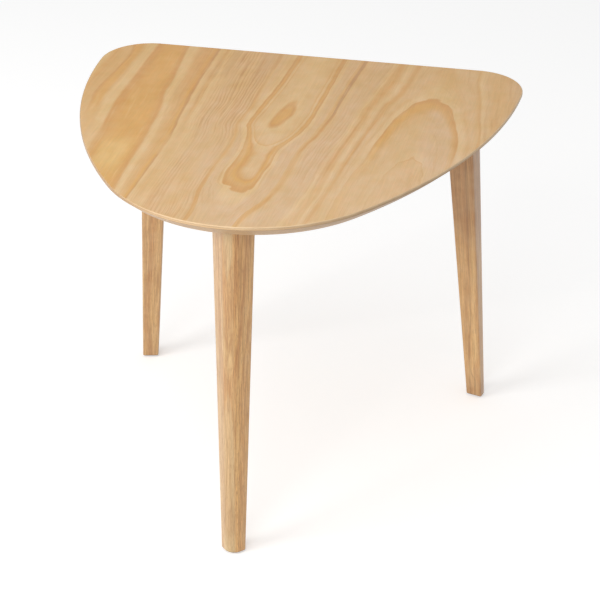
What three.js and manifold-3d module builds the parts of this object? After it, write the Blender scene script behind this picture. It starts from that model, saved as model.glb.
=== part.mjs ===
// Corner table: a rounded three-cornered plywood top with an undercut edge, on three splayed tapered legs.
// Lengths are millimetres and +Z is up. The origin is on the floor, under the middle of the top's box.
// The straight back edge faces +Y and the nose, with its single front leg, faces -Y.

import * as THREE from 'three';
import { mergeVertices } from 'three/addons/utils/BufferGeometryUtils.js';
import Module from 'manifold-3d';

const wasm = await Module();
wasm.setup();

// Driving dimensions of the whole table
const TABLE_HEIGHT = 500;
const TOP_WIDTH = 600;
const TOP_DEPTH = 536;
const TOP_THICKNESS = 18;

// Outline of the top: two tight back corners, two long bowed sides and a broad nose
const CORNER_RADIUS = 68;
const SIDE_RADIUS = 670;
const NOSE_RADIUS = 203;

// Edge of the top: a rounded upper arris, a short upright band and a long bevel running in underneath
const UPPER_ARRIS_RADIUS = 1.4;
const EDGE_BAND_HEIGHT = 4;
const EDGE_UNDERCUT = 16;
const LOWER_ARRIS_SIZE = 0.9;

// Places of the feet, from the edges of the top to the middle of each foot
const BACK_FOOT_FROM_SIDE = 43;
const BACK_FOOT_FROM_BACK = 50;
const FRONT_FOOT_FROM_NOSE = 34;

// Leg: a square bar set corner outward, thick at the top, with only its outer corner well rounded
const LEG_LEAN = 42;
const LEG_FOOT_WIDTH = 24;
const LEG_TOP_WIDTH = 40;
const LEG_OUTER_RADIUS = 15;
const LEG_ARRIS_RADIUS = 2.4;
const FOOT_EASING = 1.6;

// Steel mounting plate between each leg and the top
const PLATE_LENGTH = 72;
const PLATE_WIDTH = 78;
const PLATE_THICKNESS = 3;
const PLATE_CORNER_RADIUS = 9;
const PLATE_BOLT_FROM_EDGE = 10;

// Countersunk wood screws that hold a plate down on its leg
const LEG_SCREWS_PER_LEG = 3;
const LEG_SCREW_CIRCLE_RADIUS = 11;
const LEG_SCREW_DIAMETER = 4.5;
const LEG_SCREW_HEAD_DIAMETER = 9;
const LEG_SCREW_HEAD_RIM = 0.5;
const LEG_SCREW_LENGTH = 38;
const LEG_SCREW_TIP_LENGTH = 5;
const CROSS_RECESS_LENGTH = 4.6;
const CROSS_RECESS_WIDTH = 1.1;
const CROSS_RECESS_DEPTH = 1.6;

// Button-head machine screws that hold a plate up against the top
const BOLT_DIAMETER = 6;
const BOLT_HEAD_DIAMETER = 10.5;
const BOLT_HEAD_HEIGHT = 3.3;
const BOLT_HEAD_FLAT_DIAMETER = 5.6;
const BOLT_TIP_CHAMFER = 0.8;
const BOLT_SOCKET_ACROSS_FLATS = 4;
const BOLT_SOCKET_DEPTH = 2;
const bolt_grip_share = 0.75;

// Threaded inserts in the underside of the top, and the wood left whole above their holes
const INSERT_DIAMETER = 10;
const INSERT_RIM_CHAMFER = 0.7;
const INSERT_DRILL_ROOM = 0.8;
const TOP_WOOD_OVER_INSERT = 4.8;

// Nail-on glide under each foot
const GLIDE_DIAMETER = 15;
const GLIDE_THICKNESS = 2;
const GLIDE_RIM_RADIUS = 0.8;
const GLIDE_NAIL_DIAMETER = 2.4;
const GLIDE_NAIL_LENGTH = 14;
const GLIDE_NAIL_TIP_LENGTH = 3;

// Play between parts that seat on or pass through one another, and the overrun of every cutting tool
const SEAT_GAP = 0.3;
const CUT_OVERRUN = 1;

// Steps on curved faces
const CORNER_STEPS = 15;
const SIDE_STEPS = 10;
const NOSE_STEPS = 16;
const ARRIS_STEPS = 3;
const LEG_ROUND_STEPS = 8;
const PLATE_CORNER_STEPS = 5;
const SMALL_ROUND_SIDES = 12;

// Heights that follow from the driving dimensions
const UNDERSIDE_Z = TABLE_HEIGHT - TOP_THICKNESS;
const PLATE_TOP_Z = UNDERSIDE_Z - SEAT_GAP;
const PLATE_BOTTOM_Z = PLATE_TOP_Z - PLATE_THICKNESS;
const LEG_TOP_Z = PLATE_BOTTOM_Z - SEAT_GAP;
const LEG_BOTTOM_Z = GLIDE_THICKNESS + SEAT_GAP;
const INSERT_HOLE_DEPTH = TOP_THICKNESS - TOP_WOOD_OVER_INSERT;
const INSERT_LENGTH = INSERT_HOLE_DEPTH - INSERT_DRILL_ROOM - SEAT_GAP;
const BOLT_LENGTH = PLATE_THICKNESS + SEAT_GAP + INSERT_LENGTH * bolt_grip_share;

// Materials, one function for each finish

function pineVeneerPly() {
  return new THREE.MeshStandardMaterial({ color: 0xdcbd93, roughness: 0.45, metalness: 0 });
}

function oiledLegWood() {
  return new THREE.MeshStandardMaterial({ color: 0xc69b70, roughness: 0.55, metalness: 0 });
}

function zincPlate() {
  return new THREE.MeshStandardMaterial({ color: 0xb4b6b8, roughness: 0.4, metalness: 1 });
}

function yellowZinc() {
  return new THREE.MeshStandardMaterial({ color: 0xc2a45e, roughness: 0.35, metalness: 1 });
}

function blackenedSteel() {
  return new THREE.MeshStandardMaterial({ color: 0x2b2b2d, roughness: 0.45, metalness: 1 });
}

function insertZinc() {
  return new THREE.MeshStandardMaterial({ color: 0xa9a79f, roughness: 0.5, metalness: 1 });
}

function glideNylon() {
  return new THREE.MeshStandardMaterial({ color: 0xe6e2d8, roughness: 0.6, metalness: 0 });
}

// Solids: three.js geometry in and out of the boolean library

function toSolid(geometry) {
  const bare = geometry.clone();
  bare.deleteAttribute('normal');
  bare.deleteAttribute('uv');
  const merged = mergeVertices(bare);
  const vertProperties = Float32Array.from(merged.attributes.position.array);
  const triVerts = Uint32Array.from(merged.index.array);
  return new wasm.Manifold(new wasm.Mesh({ numProp: 3, vertProperties, triVerts }));
}

function toGeometry(solid) {
  const mesh = solid.getMesh();
  const geometry = new THREE.BufferGeometry();
  geometry.setAttribute('position', new THREE.Float32BufferAttribute(mesh.vertProperties, mesh.numProp));
  geometry.setIndex(Array.from(mesh.triVerts));
  return geometry;
}

function cut(geometry, tools) {
  let solid = toSolid(geometry);
  for (const tool of tools) {
    solid = solid.subtract(toSolid(tool));
  }
  const result = toGeometry(solid);
  result.computeVertexNormals();
  return result;
}

// A solid through a stack of closed rings with equal counts, each running anticlockwise, lowest ring first
function loft(rings) {
  const count = rings[0].length;
  const positions = rings.flatMap((ring) => ring.flatMap((point) => point.toArray()));
  const indices = [];
  for (let level = 0; level + 1 < rings.length; level += 1) {
    for (let i = 0; i < count; i += 1) {
      const next = (i + 1) % count;
      const low = level * count;
      const high = low + count;
      indices.push(low + i, low + next, high + next);
      indices.push(low + i, high + next, high + i);
    }
  }
  const last = (rings.length - 1) * count;
  const capTriangles = THREE.ShapeUtils.triangulateShape(rings[0].map((p) => new THREE.Vector2(p.x, p.y)), []);
  for (const [a, b, c] of capTriangles) {
    indices.push(c, b, a);
    indices.push(last + a, last + b, last + c);
  }
  const geometry = new THREE.BufferGeometry();
  geometry.setAttribute('position', new THREE.Float32BufferAttribute(positions, 3));
  geometry.setIndex(indices);
  geometry.computeVertexNormals();
  return geometry;
}

// A solid of revolution about +Z from [radius, height] pairs that run from the axis, round and back to it
function revolve(pairs) {
  const profile = pairs.map(([radius, height]) => new THREE.Vector2(radius, height));
  return new THREE.LatheGeometry(profile, SMALL_ROUND_SIDES).rotateX(Math.PI / 2);
}

// A drill: a plain cylinder standing on z = bottom
function drill(radius, bottom, height) {
  const geometry = new THREE.CylinderGeometry(radius, radius, height, SMALL_ROUND_SIDES);
  return geometry.rotateX(Math.PI / 2).translate(0, 0, bottom + height / 2);
}

function named(name, geometry, material) {
  const mesh = new THREE.Mesh(geometry, material);
  mesh.name = name;
  return mesh;
}

// The point on the left of the line from a to b that lies aRadius from a and bRadius from b
function circleCrossing(a, aRadius, b, bRadius) {
  const line = b.clone().sub(a);
  const span = line.length();
  const along = (span * span + aRadius * aRadius - bRadius * bRadius) / (2 * span);
  const aside = Math.sqrt(aRadius * aRadius - along * along);
  const direction = line.normalize();
  const left = new THREE.Vector2(-direction.y, direction.x);
  return a.clone().addScaledVector(direction, along).addScaledVector(left, aside);
}

// Outline of the top, drawn in from its widest line by inset, anticlockwise from the nose
function topOutline(inset) {
  const corner = new THREE.Vector2(TOP_WIDTH / 2 - CORNER_RADIUS, TOP_DEPTH / 2 - CORNER_RADIUS);
  const nose = new THREE.Vector2(0, NOSE_RADIUS - TOP_DEPTH / 2);
  const side = circleCrossing(nose, SIDE_RADIUS - NOSE_RADIUS, corner, SIDE_RADIUS - CORNER_RADIUS);
  const noseEnd = Math.atan2(nose.y - side.y, nose.x - side.x);
  const sideEnd = Math.atan2(corner.y - side.y, corner.x - side.x);
  const arc = (centre, radius, from, to, steps) => {
    const curve = new THREE.EllipseCurve(centre.x, centre.y, radius - inset, radius - inset, from, to);
    return curve.getPoints(steps);
  };
  const rightHalf = [
    ...arc(nose, NOSE_RADIUS, -Math.PI / 2, noseEnd, NOSE_STEPS / 2),
    ...arc(side, SIDE_RADIUS, noseEnd, sideEnd, SIDE_STEPS).slice(1),
    ...arc(corner, CORNER_RADIUS, sideEnd, Math.PI / 2, CORNER_STEPS).slice(1),
  ];
  const leftHalf = rightHalf.slice(1).reverse();
  return [...rightHalf, ...leftHalf.map((point) => new THREE.Vector2(-point.x, point.y))];
}

// Section through the edge of the top as [inset, height above the underside], from the underside upward
function edgeProfile() {
  const bevelHeight = TOP_THICKNESS - EDGE_BAND_HEIGHT;
  const bevelSlope = EDGE_UNDERCUT / bevelHeight;
  const profile = [
    [EDGE_UNDERCUT + LOWER_ARRIS_SIZE, 0],
    [EDGE_UNDERCUT - LOWER_ARRIS_SIZE * bevelSlope, LOWER_ARRIS_SIZE],
    [0, bevelHeight],
  ];
  for (let step = 0; step <= ARRIS_STEPS; step += 1) {
    const turn = (step / ARRIS_STEPS) * (Math.PI / 2);
    profile.push([
      UPPER_ARRIS_RADIUS * (1 - Math.cos(turn)),
      TOP_THICKNESS - UPPER_ARRIS_RADIUS * (1 - Math.sin(turn)),
    ]);
  }
  return profile;
}

// Where each leg stands: its foot, and the angle of the line that runs out through it from the feet's middle
function legPlaces() {
  const backX = TOP_WIDTH / 2 - BACK_FOOT_FROM_SIDE;
  const backY = TOP_DEPTH / 2 - BACK_FOOT_FROM_BACK;
  const frontY = FRONT_FOOT_FROM_NOSE - TOP_DEPTH / 2;
  const middleY = (backY + backY + frontY) / 3;
  const feet = [
    { side: 'front', x: 0, y: frontY },
    { side: 'back_left', x: -backX, y: backY },
    { side: 'back_right', x: backX, y: backY },
  ];
  return feet.map((foot) => ({ ...foot, outward: Math.atan2(foot.y - middleY, foot.x) }));
}

// How far the middle of the leg stands out at height z, from its foot: it leans inward as it rises
function legCentreAt(z) {
  return -LEG_LEAN * ((z - LEG_BOTTOM_Z) / (LEG_TOP_Z - LEG_BOTTOM_Z));
}

const PLATE_CENTRE_X = legCentreAt(LEG_TOP_Z);

// The four bolts of a plate, from the plate's middle
function boltPlaces() {
  const reachX = PLATE_LENGTH / 2 - PLATE_BOLT_FROM_EDGE;
  const reachY = PLATE_WIDTH / 2 - PLATE_BOLT_FROM_EDGE;
  return [[reachX, reachY], [-reachX, reachY], [-reachX, -reachY], [reachX, -reachY]];
}

// The wood screws of a leg, evenly round the middle of its top end
function legScrewPlaces() {
  return Array.from({ length: LEG_SCREWS_PER_LEG }, (unused, i) => {
    const turn = (i / LEG_SCREWS_PER_LEG) * 2 * Math.PI;
    return [LEG_SCREW_CIRCLE_RADIUS * Math.cos(turn), LEG_SCREW_CIRCLE_RADIUS * Math.sin(turn)];
  });
}

// Table top, with a blind hole in its underside for every insert
function tableTop() {
  const rings = edgeProfile().map(([inset, height]) => (
    topOutline(inset).map((point) => new THREE.Vector3(point.x, point.y, height))
  ));
  const hole = drill(INSERT_DIAMETER / 2 + SEAT_GAP, -CUT_OVERRUN, INSERT_HOLE_DEPTH + CUT_OVERRUN);
  const tools = [];
  for (const leg of legPlaces()) {
    for (const [x, y] of boltPlaces()) {
      const tool = hole.clone().translate(PLATE_CENTRE_X + x, y, 0);
      tools.push(tool.rotateZ(leg.outward).translate(leg.x, leg.y, 0));
    }
  }
  const top = named('table_top', cut(loft(rings), tools), pineVeneerPly());
  top.position.z = UNDERSIDE_Z;
  return top;
}

// Square section with a corner toward +X; that corner is well rounded and the other three are only eased
function legSection(width, inset, z) {
  const ring = [];
  for (let corner = 0; corner < 4; corner += 1) {
    const radius = corner === 0 ? LEG_OUTER_RADIUS : LEG_ARRIS_RADIUS;
    const reach = (width / 2 - radius) * Math.SQRT2;
    const steps = corner === 0 ? LEG_ROUND_STEPS : ARRIS_STEPS;
    const facing = corner * (Math.PI / 2);
    for (let step = 0; step <= steps; step += 1) {
      const turn = facing + (step / steps - 1 / 2) * (Math.PI / 2);
      ring.push(new THREE.Vector3(
        legCentreAt(z) + reach * Math.cos(facing) + (radius - inset) * Math.cos(turn),
        reach * Math.sin(facing) + (radius - inset) * Math.sin(turn),
        z,
      ));
    }
  }
  return ring;
}

function legWidthAt(z) {
  const rise = (z - LEG_BOTTOM_Z) / (LEG_TOP_Z - LEG_BOTTOM_Z);
  return LEG_FOOT_WIDTH + (LEG_TOP_WIDTH - LEG_FOOT_WIDTH) * rise;
}

function leg(side) {
  const easedZ = LEG_BOTTOM_Z + FOOT_EASING;
  const body = loft([
    legSection(legWidthAt(LEG_BOTTOM_Z), FOOT_EASING, LEG_BOTTOM_Z),
    legSection(legWidthAt(easedZ), 0, easedZ),
    legSection(legWidthAt(LEG_TOP_Z), 0, LEG_TOP_Z),
  ]);
  const tools = [drill(
    GLIDE_NAIL_DIAMETER / 2 + SEAT_GAP,
    LEG_BOTTOM_Z - CUT_OVERRUN,
    GLIDE_NAIL_LENGTH + CUT_OVERRUN,
  )];
  for (const [x, y] of legScrewPlaces()) {
    tools.push(legScrewShape(SEAT_GAP).translate(PLATE_CENTRE_X + x, y, PLATE_TOP_Z));
  }
  return named(`leg_${side}`, cut(body, tools), oiledLegWood());
}

// Mounting plate: rounded corners, four bolt holes and a countersunk hole for each wood screw
function mountPlate(side) {
  const halfLength = PLATE_LENGTH / 2;
  const halfWidth = PLATE_WIDTH / 2;
  const cornerX = halfLength - PLATE_CORNER_RADIUS;
  const cornerY = halfWidth - PLATE_CORNER_RADIUS;
  const outline = new THREE.Shape();
  outline.absarc(cornerX, cornerY, PLATE_CORNER_RADIUS, 0, Math.PI / 2);
  outline.absarc(-cornerX, cornerY, PLATE_CORNER_RADIUS, Math.PI / 2, Math.PI);
  outline.absarc(-cornerX, -cornerY, PLATE_CORNER_RADIUS, Math.PI, Math.PI * 3 / 2);
  outline.absarc(cornerX, -cornerY, PLATE_CORNER_RADIUS, Math.PI * 3 / 2, Math.PI * 2);
  const blank = new THREE.ExtrudeGeometry(outline, {
    depth: PLATE_THICKNESS,
    bevelEnabled: false,
    curveSegments: PLATE_CORNER_STEPS,
  });
  blank.translate(0, 0, -PLATE_THICKNESS);
  const boltHole = drill(
    BOLT_DIAMETER / 2 + SEAT_GAP,
    -PLATE_THICKNESS - CUT_OVERRUN,
    PLATE_THICKNESS + 2 * CUT_OVERRUN,
  );
  const tools = [
    ...boltPlaces().map(([x, y]) => boltHole.clone().translate(x, y, 0)),
    ...legScrewPlaces().map(([x, y]) => legScrewShape(SEAT_GAP).translate(x, y, 0)),
  ];
  const plate = named(`mount_plate_${side}`, cut(blank, tools), zincPlate());
  plate.position.set(PLATE_CENTRE_X, 0, PLATE_TOP_Z);
  return plate;
}

// Countersunk wood screw hanging below z = 0, the plate's upper face, with its head just under that face.
// With a gap it is the tool that cuts its own seat: grown all round by the gap, and open at the top.
function legScrewShape(gap) {
  const headRadius = LEG_SCREW_HEAD_DIAMETER / 2 + gap;
  const shankRadius = LEG_SCREW_DIAMETER / 2 + gap;
  const rimBottom = -LEG_SCREW_HEAD_RIM - gap;
  const coneBottom = rimBottom - (headRadius - shankRadius);
  const tipTop = LEG_SCREW_TIP_LENGTH - LEG_SCREW_LENGTH - gap;
  const top = gap > 0 ? CUT_OVERRUN : -SEAT_GAP;
  return revolve([
    [0, -LEG_SCREW_LENGTH - gap],
    [shankRadius, tipTop],
    [shankRadius, coneBottom],
    [headRadius, rimBottom],
    [headRadius, top],
    [0, top],
  ]);
}

function legScrew(side, number, x, y) {
  const bladeDepth = CROSS_RECESS_DEPTH + CUT_OVERRUN;
  const bladeZ = CUT_OVERRUN - SEAT_GAP - bladeDepth / 2;
  const blade = new THREE.BoxGeometry(CROSS_RECESS_LENGTH, CROSS_RECESS_WIDTH, bladeDepth);
  blade.translate(0, 0, bladeZ);
  const geometry = cut(legScrewShape(0), [blade, blade.clone().rotateZ(Math.PI / 2)]);
  const screw = named(`leg_screw_${side}_${number}`, geometry, yellowZinc());
  screw.position.set(PLATE_CENTRE_X + x, y, PLATE_TOP_Z);
  return screw;
}

// Button-head screw pointing up from z = 0 at its bearing face, with a hexagon socket in the head
function plateBolt(side, number, x, y) {
  const headRadius = BOLT_HEAD_DIAMETER / 2;
  const flatRadius = BOLT_HEAD_FLAT_DIAMETER / 2;
  const shankRadius = BOLT_DIAMETER / 2;
  const dome = [];
  for (let step = 0; step <= ARRIS_STEPS; step += 1) {
    const turn = (step / ARRIS_STEPS) * (Math.PI / 2);
    dome.push([
      flatRadius + (headRadius - flatRadius) * Math.sin(turn),
      -BOLT_HEAD_HEIGHT * Math.cos(turn),
    ]);
  }
  const body = revolve([
    [0, -BOLT_HEAD_HEIGHT],
    ...dome,
    [shankRadius, 0],
    [shankRadius, BOLT_LENGTH - BOLT_TIP_CHAMFER],
    [shankRadius - BOLT_TIP_CHAMFER, BOLT_LENGTH],
    [0, BOLT_LENGTH],
  ]);
  const hexagonRadius = BOLT_SOCKET_ACROSS_FLATS / Math.sqrt(3);
  const keyLength = BOLT_SOCKET_DEPTH + CUT_OVERRUN;
  const key = new THREE.CylinderGeometry(hexagonRadius, hexagonRadius, keyLength, 6).rotateX(Math.PI / 2);
  key.translate(0, 0, keyLength / 2 - BOLT_HEAD_HEIGHT - CUT_OVERRUN);
  const bolt = named(`plate_bolt_${side}_${number}`, cut(body, [key]), blackenedSteel());
  bolt.position.set(PLATE_CENTRE_X + x, y, PLATE_BOTTOM_Z - SEAT_GAP);
  return bolt;
}

// Threaded insert: a sleeve with chamfered ends, its bore clear of the bolt
function threadedInsert(side, number, x, y) {
  const outer = INSERT_DIAMETER / 2;
  const bore = BOLT_DIAMETER / 2 + SEAT_GAP;
  const sleeve = revolve([
    [bore, 0],
    [outer - INSERT_RIM_CHAMFER, 0],
    [outer, INSERT_RIM_CHAMFER],
    [outer, INSERT_LENGTH - INSERT_RIM_CHAMFER],
    [outer - INSERT_RIM_CHAMFER, INSERT_LENGTH],
    [bore, INSERT_LENGTH],
    [bore, 0],
  ]);
  const insert = named(`insert_${side}_${number}`, sleeve, insertZinc());
  insert.position.set(PLATE_CENTRE_X + x, y, UNDERSIDE_Z + SEAT_GAP);
  return insert;
}

// Nail-on glide: a flat disc with a rounded rim and a pointed nail up into the end grain
function footGlide(side) {
  const rim = GLIDE_DIAMETER / 2;
  const nail = GLIDE_NAIL_DIAMETER / 2;
  const nailTop = GLIDE_THICKNESS + GLIDE_NAIL_LENGTH;
  const edge = [];
  for (let step = 0; step <= ARRIS_STEPS; step += 1) {
    const turn = (step / ARRIS_STEPS) * (Math.PI / 2);
    edge.push([
      rim - GLIDE_RIM_RADIUS * (1 - Math.sin(turn)),
      GLIDE_RIM_RADIUS * (1 - Math.cos(turn)),
    ]);
  }
  const shape = revolve([
    [0, 0],
    ...edge,
    [rim, GLIDE_THICKNESS],
    [nail, GLIDE_THICKNESS],
    [nail, nailTop - GLIDE_NAIL_TIP_LENGTH],
    [0, nailTop],
  ]);
  return named(`foot_glide_${side}`, shape, glideNylon());
}

// One leg with all its fittings, standing at its foot with +X turned outward
function legAssembly({ side, x, y, outward }) {
  const group = new THREE.Group();
  group.add(leg(side));
  group.add(footGlide(side));
  group.add(mountPlate(side));
  legScrewPlaces().forEach(([px, py], i) => group.add(legScrew(side, i + 1, px, py)));
  boltPlaces().forEach(([px, py], i) => {
    group.add(plateBolt(side, i + 1, px, py));
    group.add(threadedInsert(side, i + 1, px, py));
  });
  group.position.set(x, y, 0);
  group.rotation.z = outward;
  return group;
}

const cornerTable = new THREE.Group();
cornerTable.add(tableTop());
for (const place of legPlaces()) {
  cornerTable.add(legAssembly(place));
}

export default cornerTable;
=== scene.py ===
# %% [markdown]
# # A corner table in pine and pale hardwood
# The table is a panel of pine-faced plywood with three rounded corners, standing on three splayed legs of
# solid wood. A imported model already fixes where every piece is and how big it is. This lesson loads that
# model as a frame, dresses each piece in a finer surface, and gives each one a finish made of nodes.

# %% Load the fixed frame
import math

import bpy
import numpy as np
from mathutils import Matrix, Vector


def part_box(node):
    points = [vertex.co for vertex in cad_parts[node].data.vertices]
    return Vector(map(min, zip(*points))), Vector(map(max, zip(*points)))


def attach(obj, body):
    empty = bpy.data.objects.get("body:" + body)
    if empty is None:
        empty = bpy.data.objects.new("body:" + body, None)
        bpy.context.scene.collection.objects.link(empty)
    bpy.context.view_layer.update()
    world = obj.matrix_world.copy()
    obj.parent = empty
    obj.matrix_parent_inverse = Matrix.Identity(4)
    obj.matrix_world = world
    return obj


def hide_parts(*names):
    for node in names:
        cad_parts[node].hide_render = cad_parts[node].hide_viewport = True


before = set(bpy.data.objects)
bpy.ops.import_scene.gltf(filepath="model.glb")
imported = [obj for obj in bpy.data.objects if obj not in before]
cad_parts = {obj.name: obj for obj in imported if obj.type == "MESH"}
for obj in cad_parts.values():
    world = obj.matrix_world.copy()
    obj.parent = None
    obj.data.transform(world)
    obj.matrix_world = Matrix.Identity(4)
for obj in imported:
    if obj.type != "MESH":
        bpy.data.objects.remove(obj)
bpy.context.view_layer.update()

# %% [markdown]
# ## Camera
# A camera is a place, a direction and a focal length. All three were worked out from the outline of the
# table in the picture, so they are given here as plain sizes. The direction is a heading, a dip below the
# horizon and a very small roll, and three rotations in a row say exactly that.

# %% Camera at the picture's viewing angle
MM = 0.001
PICTURE_PIXELS = 600
SENSOR_WIDTH_MM = 36.0
FOCAL_LENGTH_PIXELS = 1779.0
CAMERA_PLACE = Vector((0.5275, -2.0421, 1.4583))
CAMERA_HEADING_DEGREES = 13.53
CAMERA_DIP_DEGREES = 29.81
CAMERA_ROLL_DEGREES = -0.34
FARTHEST_SEEN = 50.0


def in_scene(name, data):
    """A new object for the data, linked into the scene."""
    thing = bpy.data.objects.new(name, data)
    bpy.context.scene.collection.objects.link(thing)
    return thing


def make_camera():
    """Heading turns about the upright axis, then the view is tipped down from level, then rolled about
    itself."""
    turns = ((CAMERA_HEADING_DEGREES, "Z"), (90 - CAMERA_DIP_DEGREES, "X"), (CAMERA_ROLL_DEGREES, "Z"))
    heading, tip, roll = (Matrix.Rotation(math.radians(angle), 4, axis) for angle, axis in turns)
    data = bpy.data.cameras.new("picture_camera")
    data.sensor_width = SENSOR_WIDTH_MM
    data.lens = FOCAL_LENGTH_PIXELS / PICTURE_PIXELS * SENSOR_WIDTH_MM
    data.clip_end = FARTHEST_SEEN
    camera = in_scene("picture_camera", data)
    camera.matrix_world = Matrix.Translation(CAMERA_PLACE) @ heading @ tip @ roll
    bpy.context.scene.camera = camera
    return camera


print("lens:", round(make_camera().data.lens, 2), "mm")

# %% [markdown]
# ## A short way to write nodes
# A node tree can be built by hand in the editor, or in code with one line for each node and one for each
# link. Those lines get long, so this small class adds a node, sets it up and feeds its sockets in one
# call. Each method returns the socket that the node puts out, so that one call can feed the next like
# ordinary arithmetic. The first half adds nodes, does sums and reads places.

# %% Colours and sums
def linear(red, green, blue):
    """The scene-linear colour of a screen colour in 0 to 255: the sRGB curve taken off each channel."""
    screen = np.array([red, green, blue]) / 255
    curved = ((screen + 0.055) / 1.055) ** 2.4
    return (*np.where(screen <= 0.04045, screen / 12.92, curved).tolist(), 1.0)


class SumWriter:
    """Adds nodes to one tree. A value given to a socket is a number, a tuple or another node's output
    socket."""

    def __init__(self, tree):
        self.tree = tree

    def feed(self, socket, value):
        if isinstance(value, bpy.types.NodeSocket):
            self.tree.links.new(value, socket)
        else:
            socket.default_value = value

    def add(self, kind, inputs=None, **settings):
        node = self.tree.nodes.new(kind)
        for name, value in settings.items():
            setattr(node, name, value)
        for key, value in (inputs or {}).items():
            self.feed(node.inputs[key], value)
        return node

    def math(self, operation, *values, clamp=False):
        inputs = dict(enumerate(values))
        return self.add("ShaderNodeMath", inputs, operation=operation, use_clamp=clamp).outputs[0]

    def plus(self, first, second):
        return self.math("ADD", first, second)

    def minus(self, first, second):
        return self.math("SUBTRACT", first, second)

    def times(self, first, second):
        return self.math("MULTIPLY", first, second)

    def over(self, first, second):
        return self.math("DIVIDE", first, second)

    def size(self, value):
        return self.math("ABSOLUTE", value)

    def room_place(self):
        """Where the point is, in metres: the Object coordinates of a piece that sits at the origin."""
        return self.add("ShaderNodeTexCoord").outputs["Object"]

    def stored(self, name, output="Fac"):
        """A number or a vector that the mesh keeps for each vertex."""
        return self.add("ShaderNodeAttribute", attribute_name=name).outputs[output]

    def split(self, vector):
        return self.add("ShaderNodeSeparateXYZ", {"Vector": vector}).outputs

    def join(self, x, y, z):
        return self.add("ShaderNodeCombineXYZ", {"X": x, "Y": y, "Z": z}).outputs[0]

    def vector(self, operation, inputs, output="Vector"):
        return self.add("ShaderNodeVectorMath", inputs, operation=operation).outputs[output]

    def stretch(self, vector, x, y, z):
        """Scales the three coordinates apart, so that noise runs out long along the smallest."""
        return self.vector("MULTIPLY", {0: vector, 1: (x, y, z)})

    def span(self, value, low, high, to_low=0.0, to_high=1.0, smooth=False):
        """Carries the span from low to high onto another span, and holds still outside it."""
        kind = "SMOOTHSTEP" if smooth else "LINEAR"
        inputs = {"Value": value, "From Min": low, "From Max": high, "To Min": to_low, "To Max": to_high}
        return self.add("ShaderNodeMapRange", inputs, interpolation_type=kind).outputs["Result"]

    def span_mm(self, value, low, high, *onto, smooth=False):
        """The same for a length, with low and high in millimetres."""
        return self.span(value, low * MM, high * MM, *onto, smooth=smooth)

    def onto(self, share, to_low, to_high):
        """Carries a share of 0 to 1 onto another span."""
        return self.span(share, 0.0, 1.0, to_low, to_high)


print("palette check, white in linear:", linear(255, 255, 255)[:3])

# %% [markdown]
# The second half draws and mixes. Noise makes what nobody could draw, such as pores and clouds, a blend
# lays one colour over another, and a ramp or a curve holds what is drawn.

# %% Noise, blends and curves
class NodeWriter(SumWriter):
    """Does all that the first half does, and adds noise, blends, ramps and curves."""

    def noise(self, vector, scale=1.0, detail=2.0, roughness=0.5):
        inputs = {"Vector": vector, "Scale": scale, "Detail": detail, "Roughness": roughness}
        return self.add("ShaderNodeTexNoise", inputs).outputs["Fac"]

    def drift(self, place, squeeze, *spans, smooth=False, **kind):
        """Noise over a place whose coordinates are scaled apart, carried from one span onto another."""
        return self.span(self.noise(self.stretch(place, *squeeze), **kind), *spans, smooth=smooth)

    def sway(self, place, squeeze, reach):
        """The same kind of noise as a length that wanders as far as the reach to either side."""
        return self.drift(place, squeeze, 0.0, 1.0, -reach, reach)

    def blend(self, factor, first, second, mode="MIX"):
        node = self.add("ShaderNodeMix", data_type="RGBA", blend_type=mode, clamp_factor=True)
        for key, value in ((0, factor), (6, first), (7, second)):
            self.feed(node.inputs[key], value)
        return node.outputs[2]

    def tint(self, colour, by):
        """The colour times another colour, or times a grey when by is one value."""
        if not isinstance(by, tuple) and by.type == "VALUE":
            by = self.join(by, by, by)
        return self.blend(1.0, colour, by, "MULTIPLY")

    def cover(self, colour, coat, share, most):
        """Lays a second colour over the first, as thickly as the share times the most it may be."""
        return self.blend(self.times(share, most), colour, coat)

    def ramp(self, value, low, high, stops):
        """A colour ramp whose stops are (place, colour) pairs, with places in the units of value from low
        to high. All places are set before any colour, because the stops sort themselves by place."""
        node = self.add("ShaderNodeValToRGB", {"Fac": self.span(value, low, high)})
        bar = node.color_ramp
        while len(bar.elements) < len(stops):
            bar.elements.new(0.5)
        for element, (place, colour) in zip(bar.elements, stops):
            element.position = (place - low) / (high - low)
        for element, (place, colour) in zip(bar.elements, stops):
            element.color = colour
        return node.outputs["Color"]

    def curve(self, value, low, high, points):
        """A smooth curve through (place, height) points, with places from low to high and heights 0 to 1."""
        node = self.add("ShaderNodeFloatCurve", {"Value": self.span(value, low, high)})
        line = node.mapping.curves[0]
        places = [((place - low) / (high - low), height) for place, height in points]
        line.points[0].location = places[0]
        line.points[1].location = places[-1]
        for place in places[1:-1]:
            line.points.new(*place)
        for point in line.points:
            point.handle_type = "AUTO_CLAMPED"
        node.mapping.update()
        return node.outputs[0]


methods = [name for half in (SumWriter, NodeWriter) for name in vars(half) if not name.startswith("_")]
print("the writer knows:", ", ".join(methods))

# %% [markdown]
# A few more helpers start and finish a whole tree. One makes an empty group with named sockets, one makes
# a material with a fresh shader, and one feeds that shader by the names of its sockets. Each finished tree
# is laid out in columns, so that it reads from left to right in the editor.

# %% Groups and materials
COLUMN_WIDTH, ROW_HEIGHT = 220, 180


def lay_out(tree):
    """Puts each node one column to the right of the furthest node that feeds it, so that the tree reads
    left to right."""
    column = {node.name: 0 for node in tree.nodes}
    for _ in tree.nodes:
        for link in tree.links:
            column[link.to_node.name] = max(column[link.to_node.name], column[link.from_node.name] + 1)
    filled = {}
    for node in tree.nodes:
        place = column[node.name]
        node.location = (place * COLUMN_WIDTH, -filled.get(place, 0) * ROW_HEIGHT)
        filled[place] = filled.get(place, 0) + 1


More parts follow.
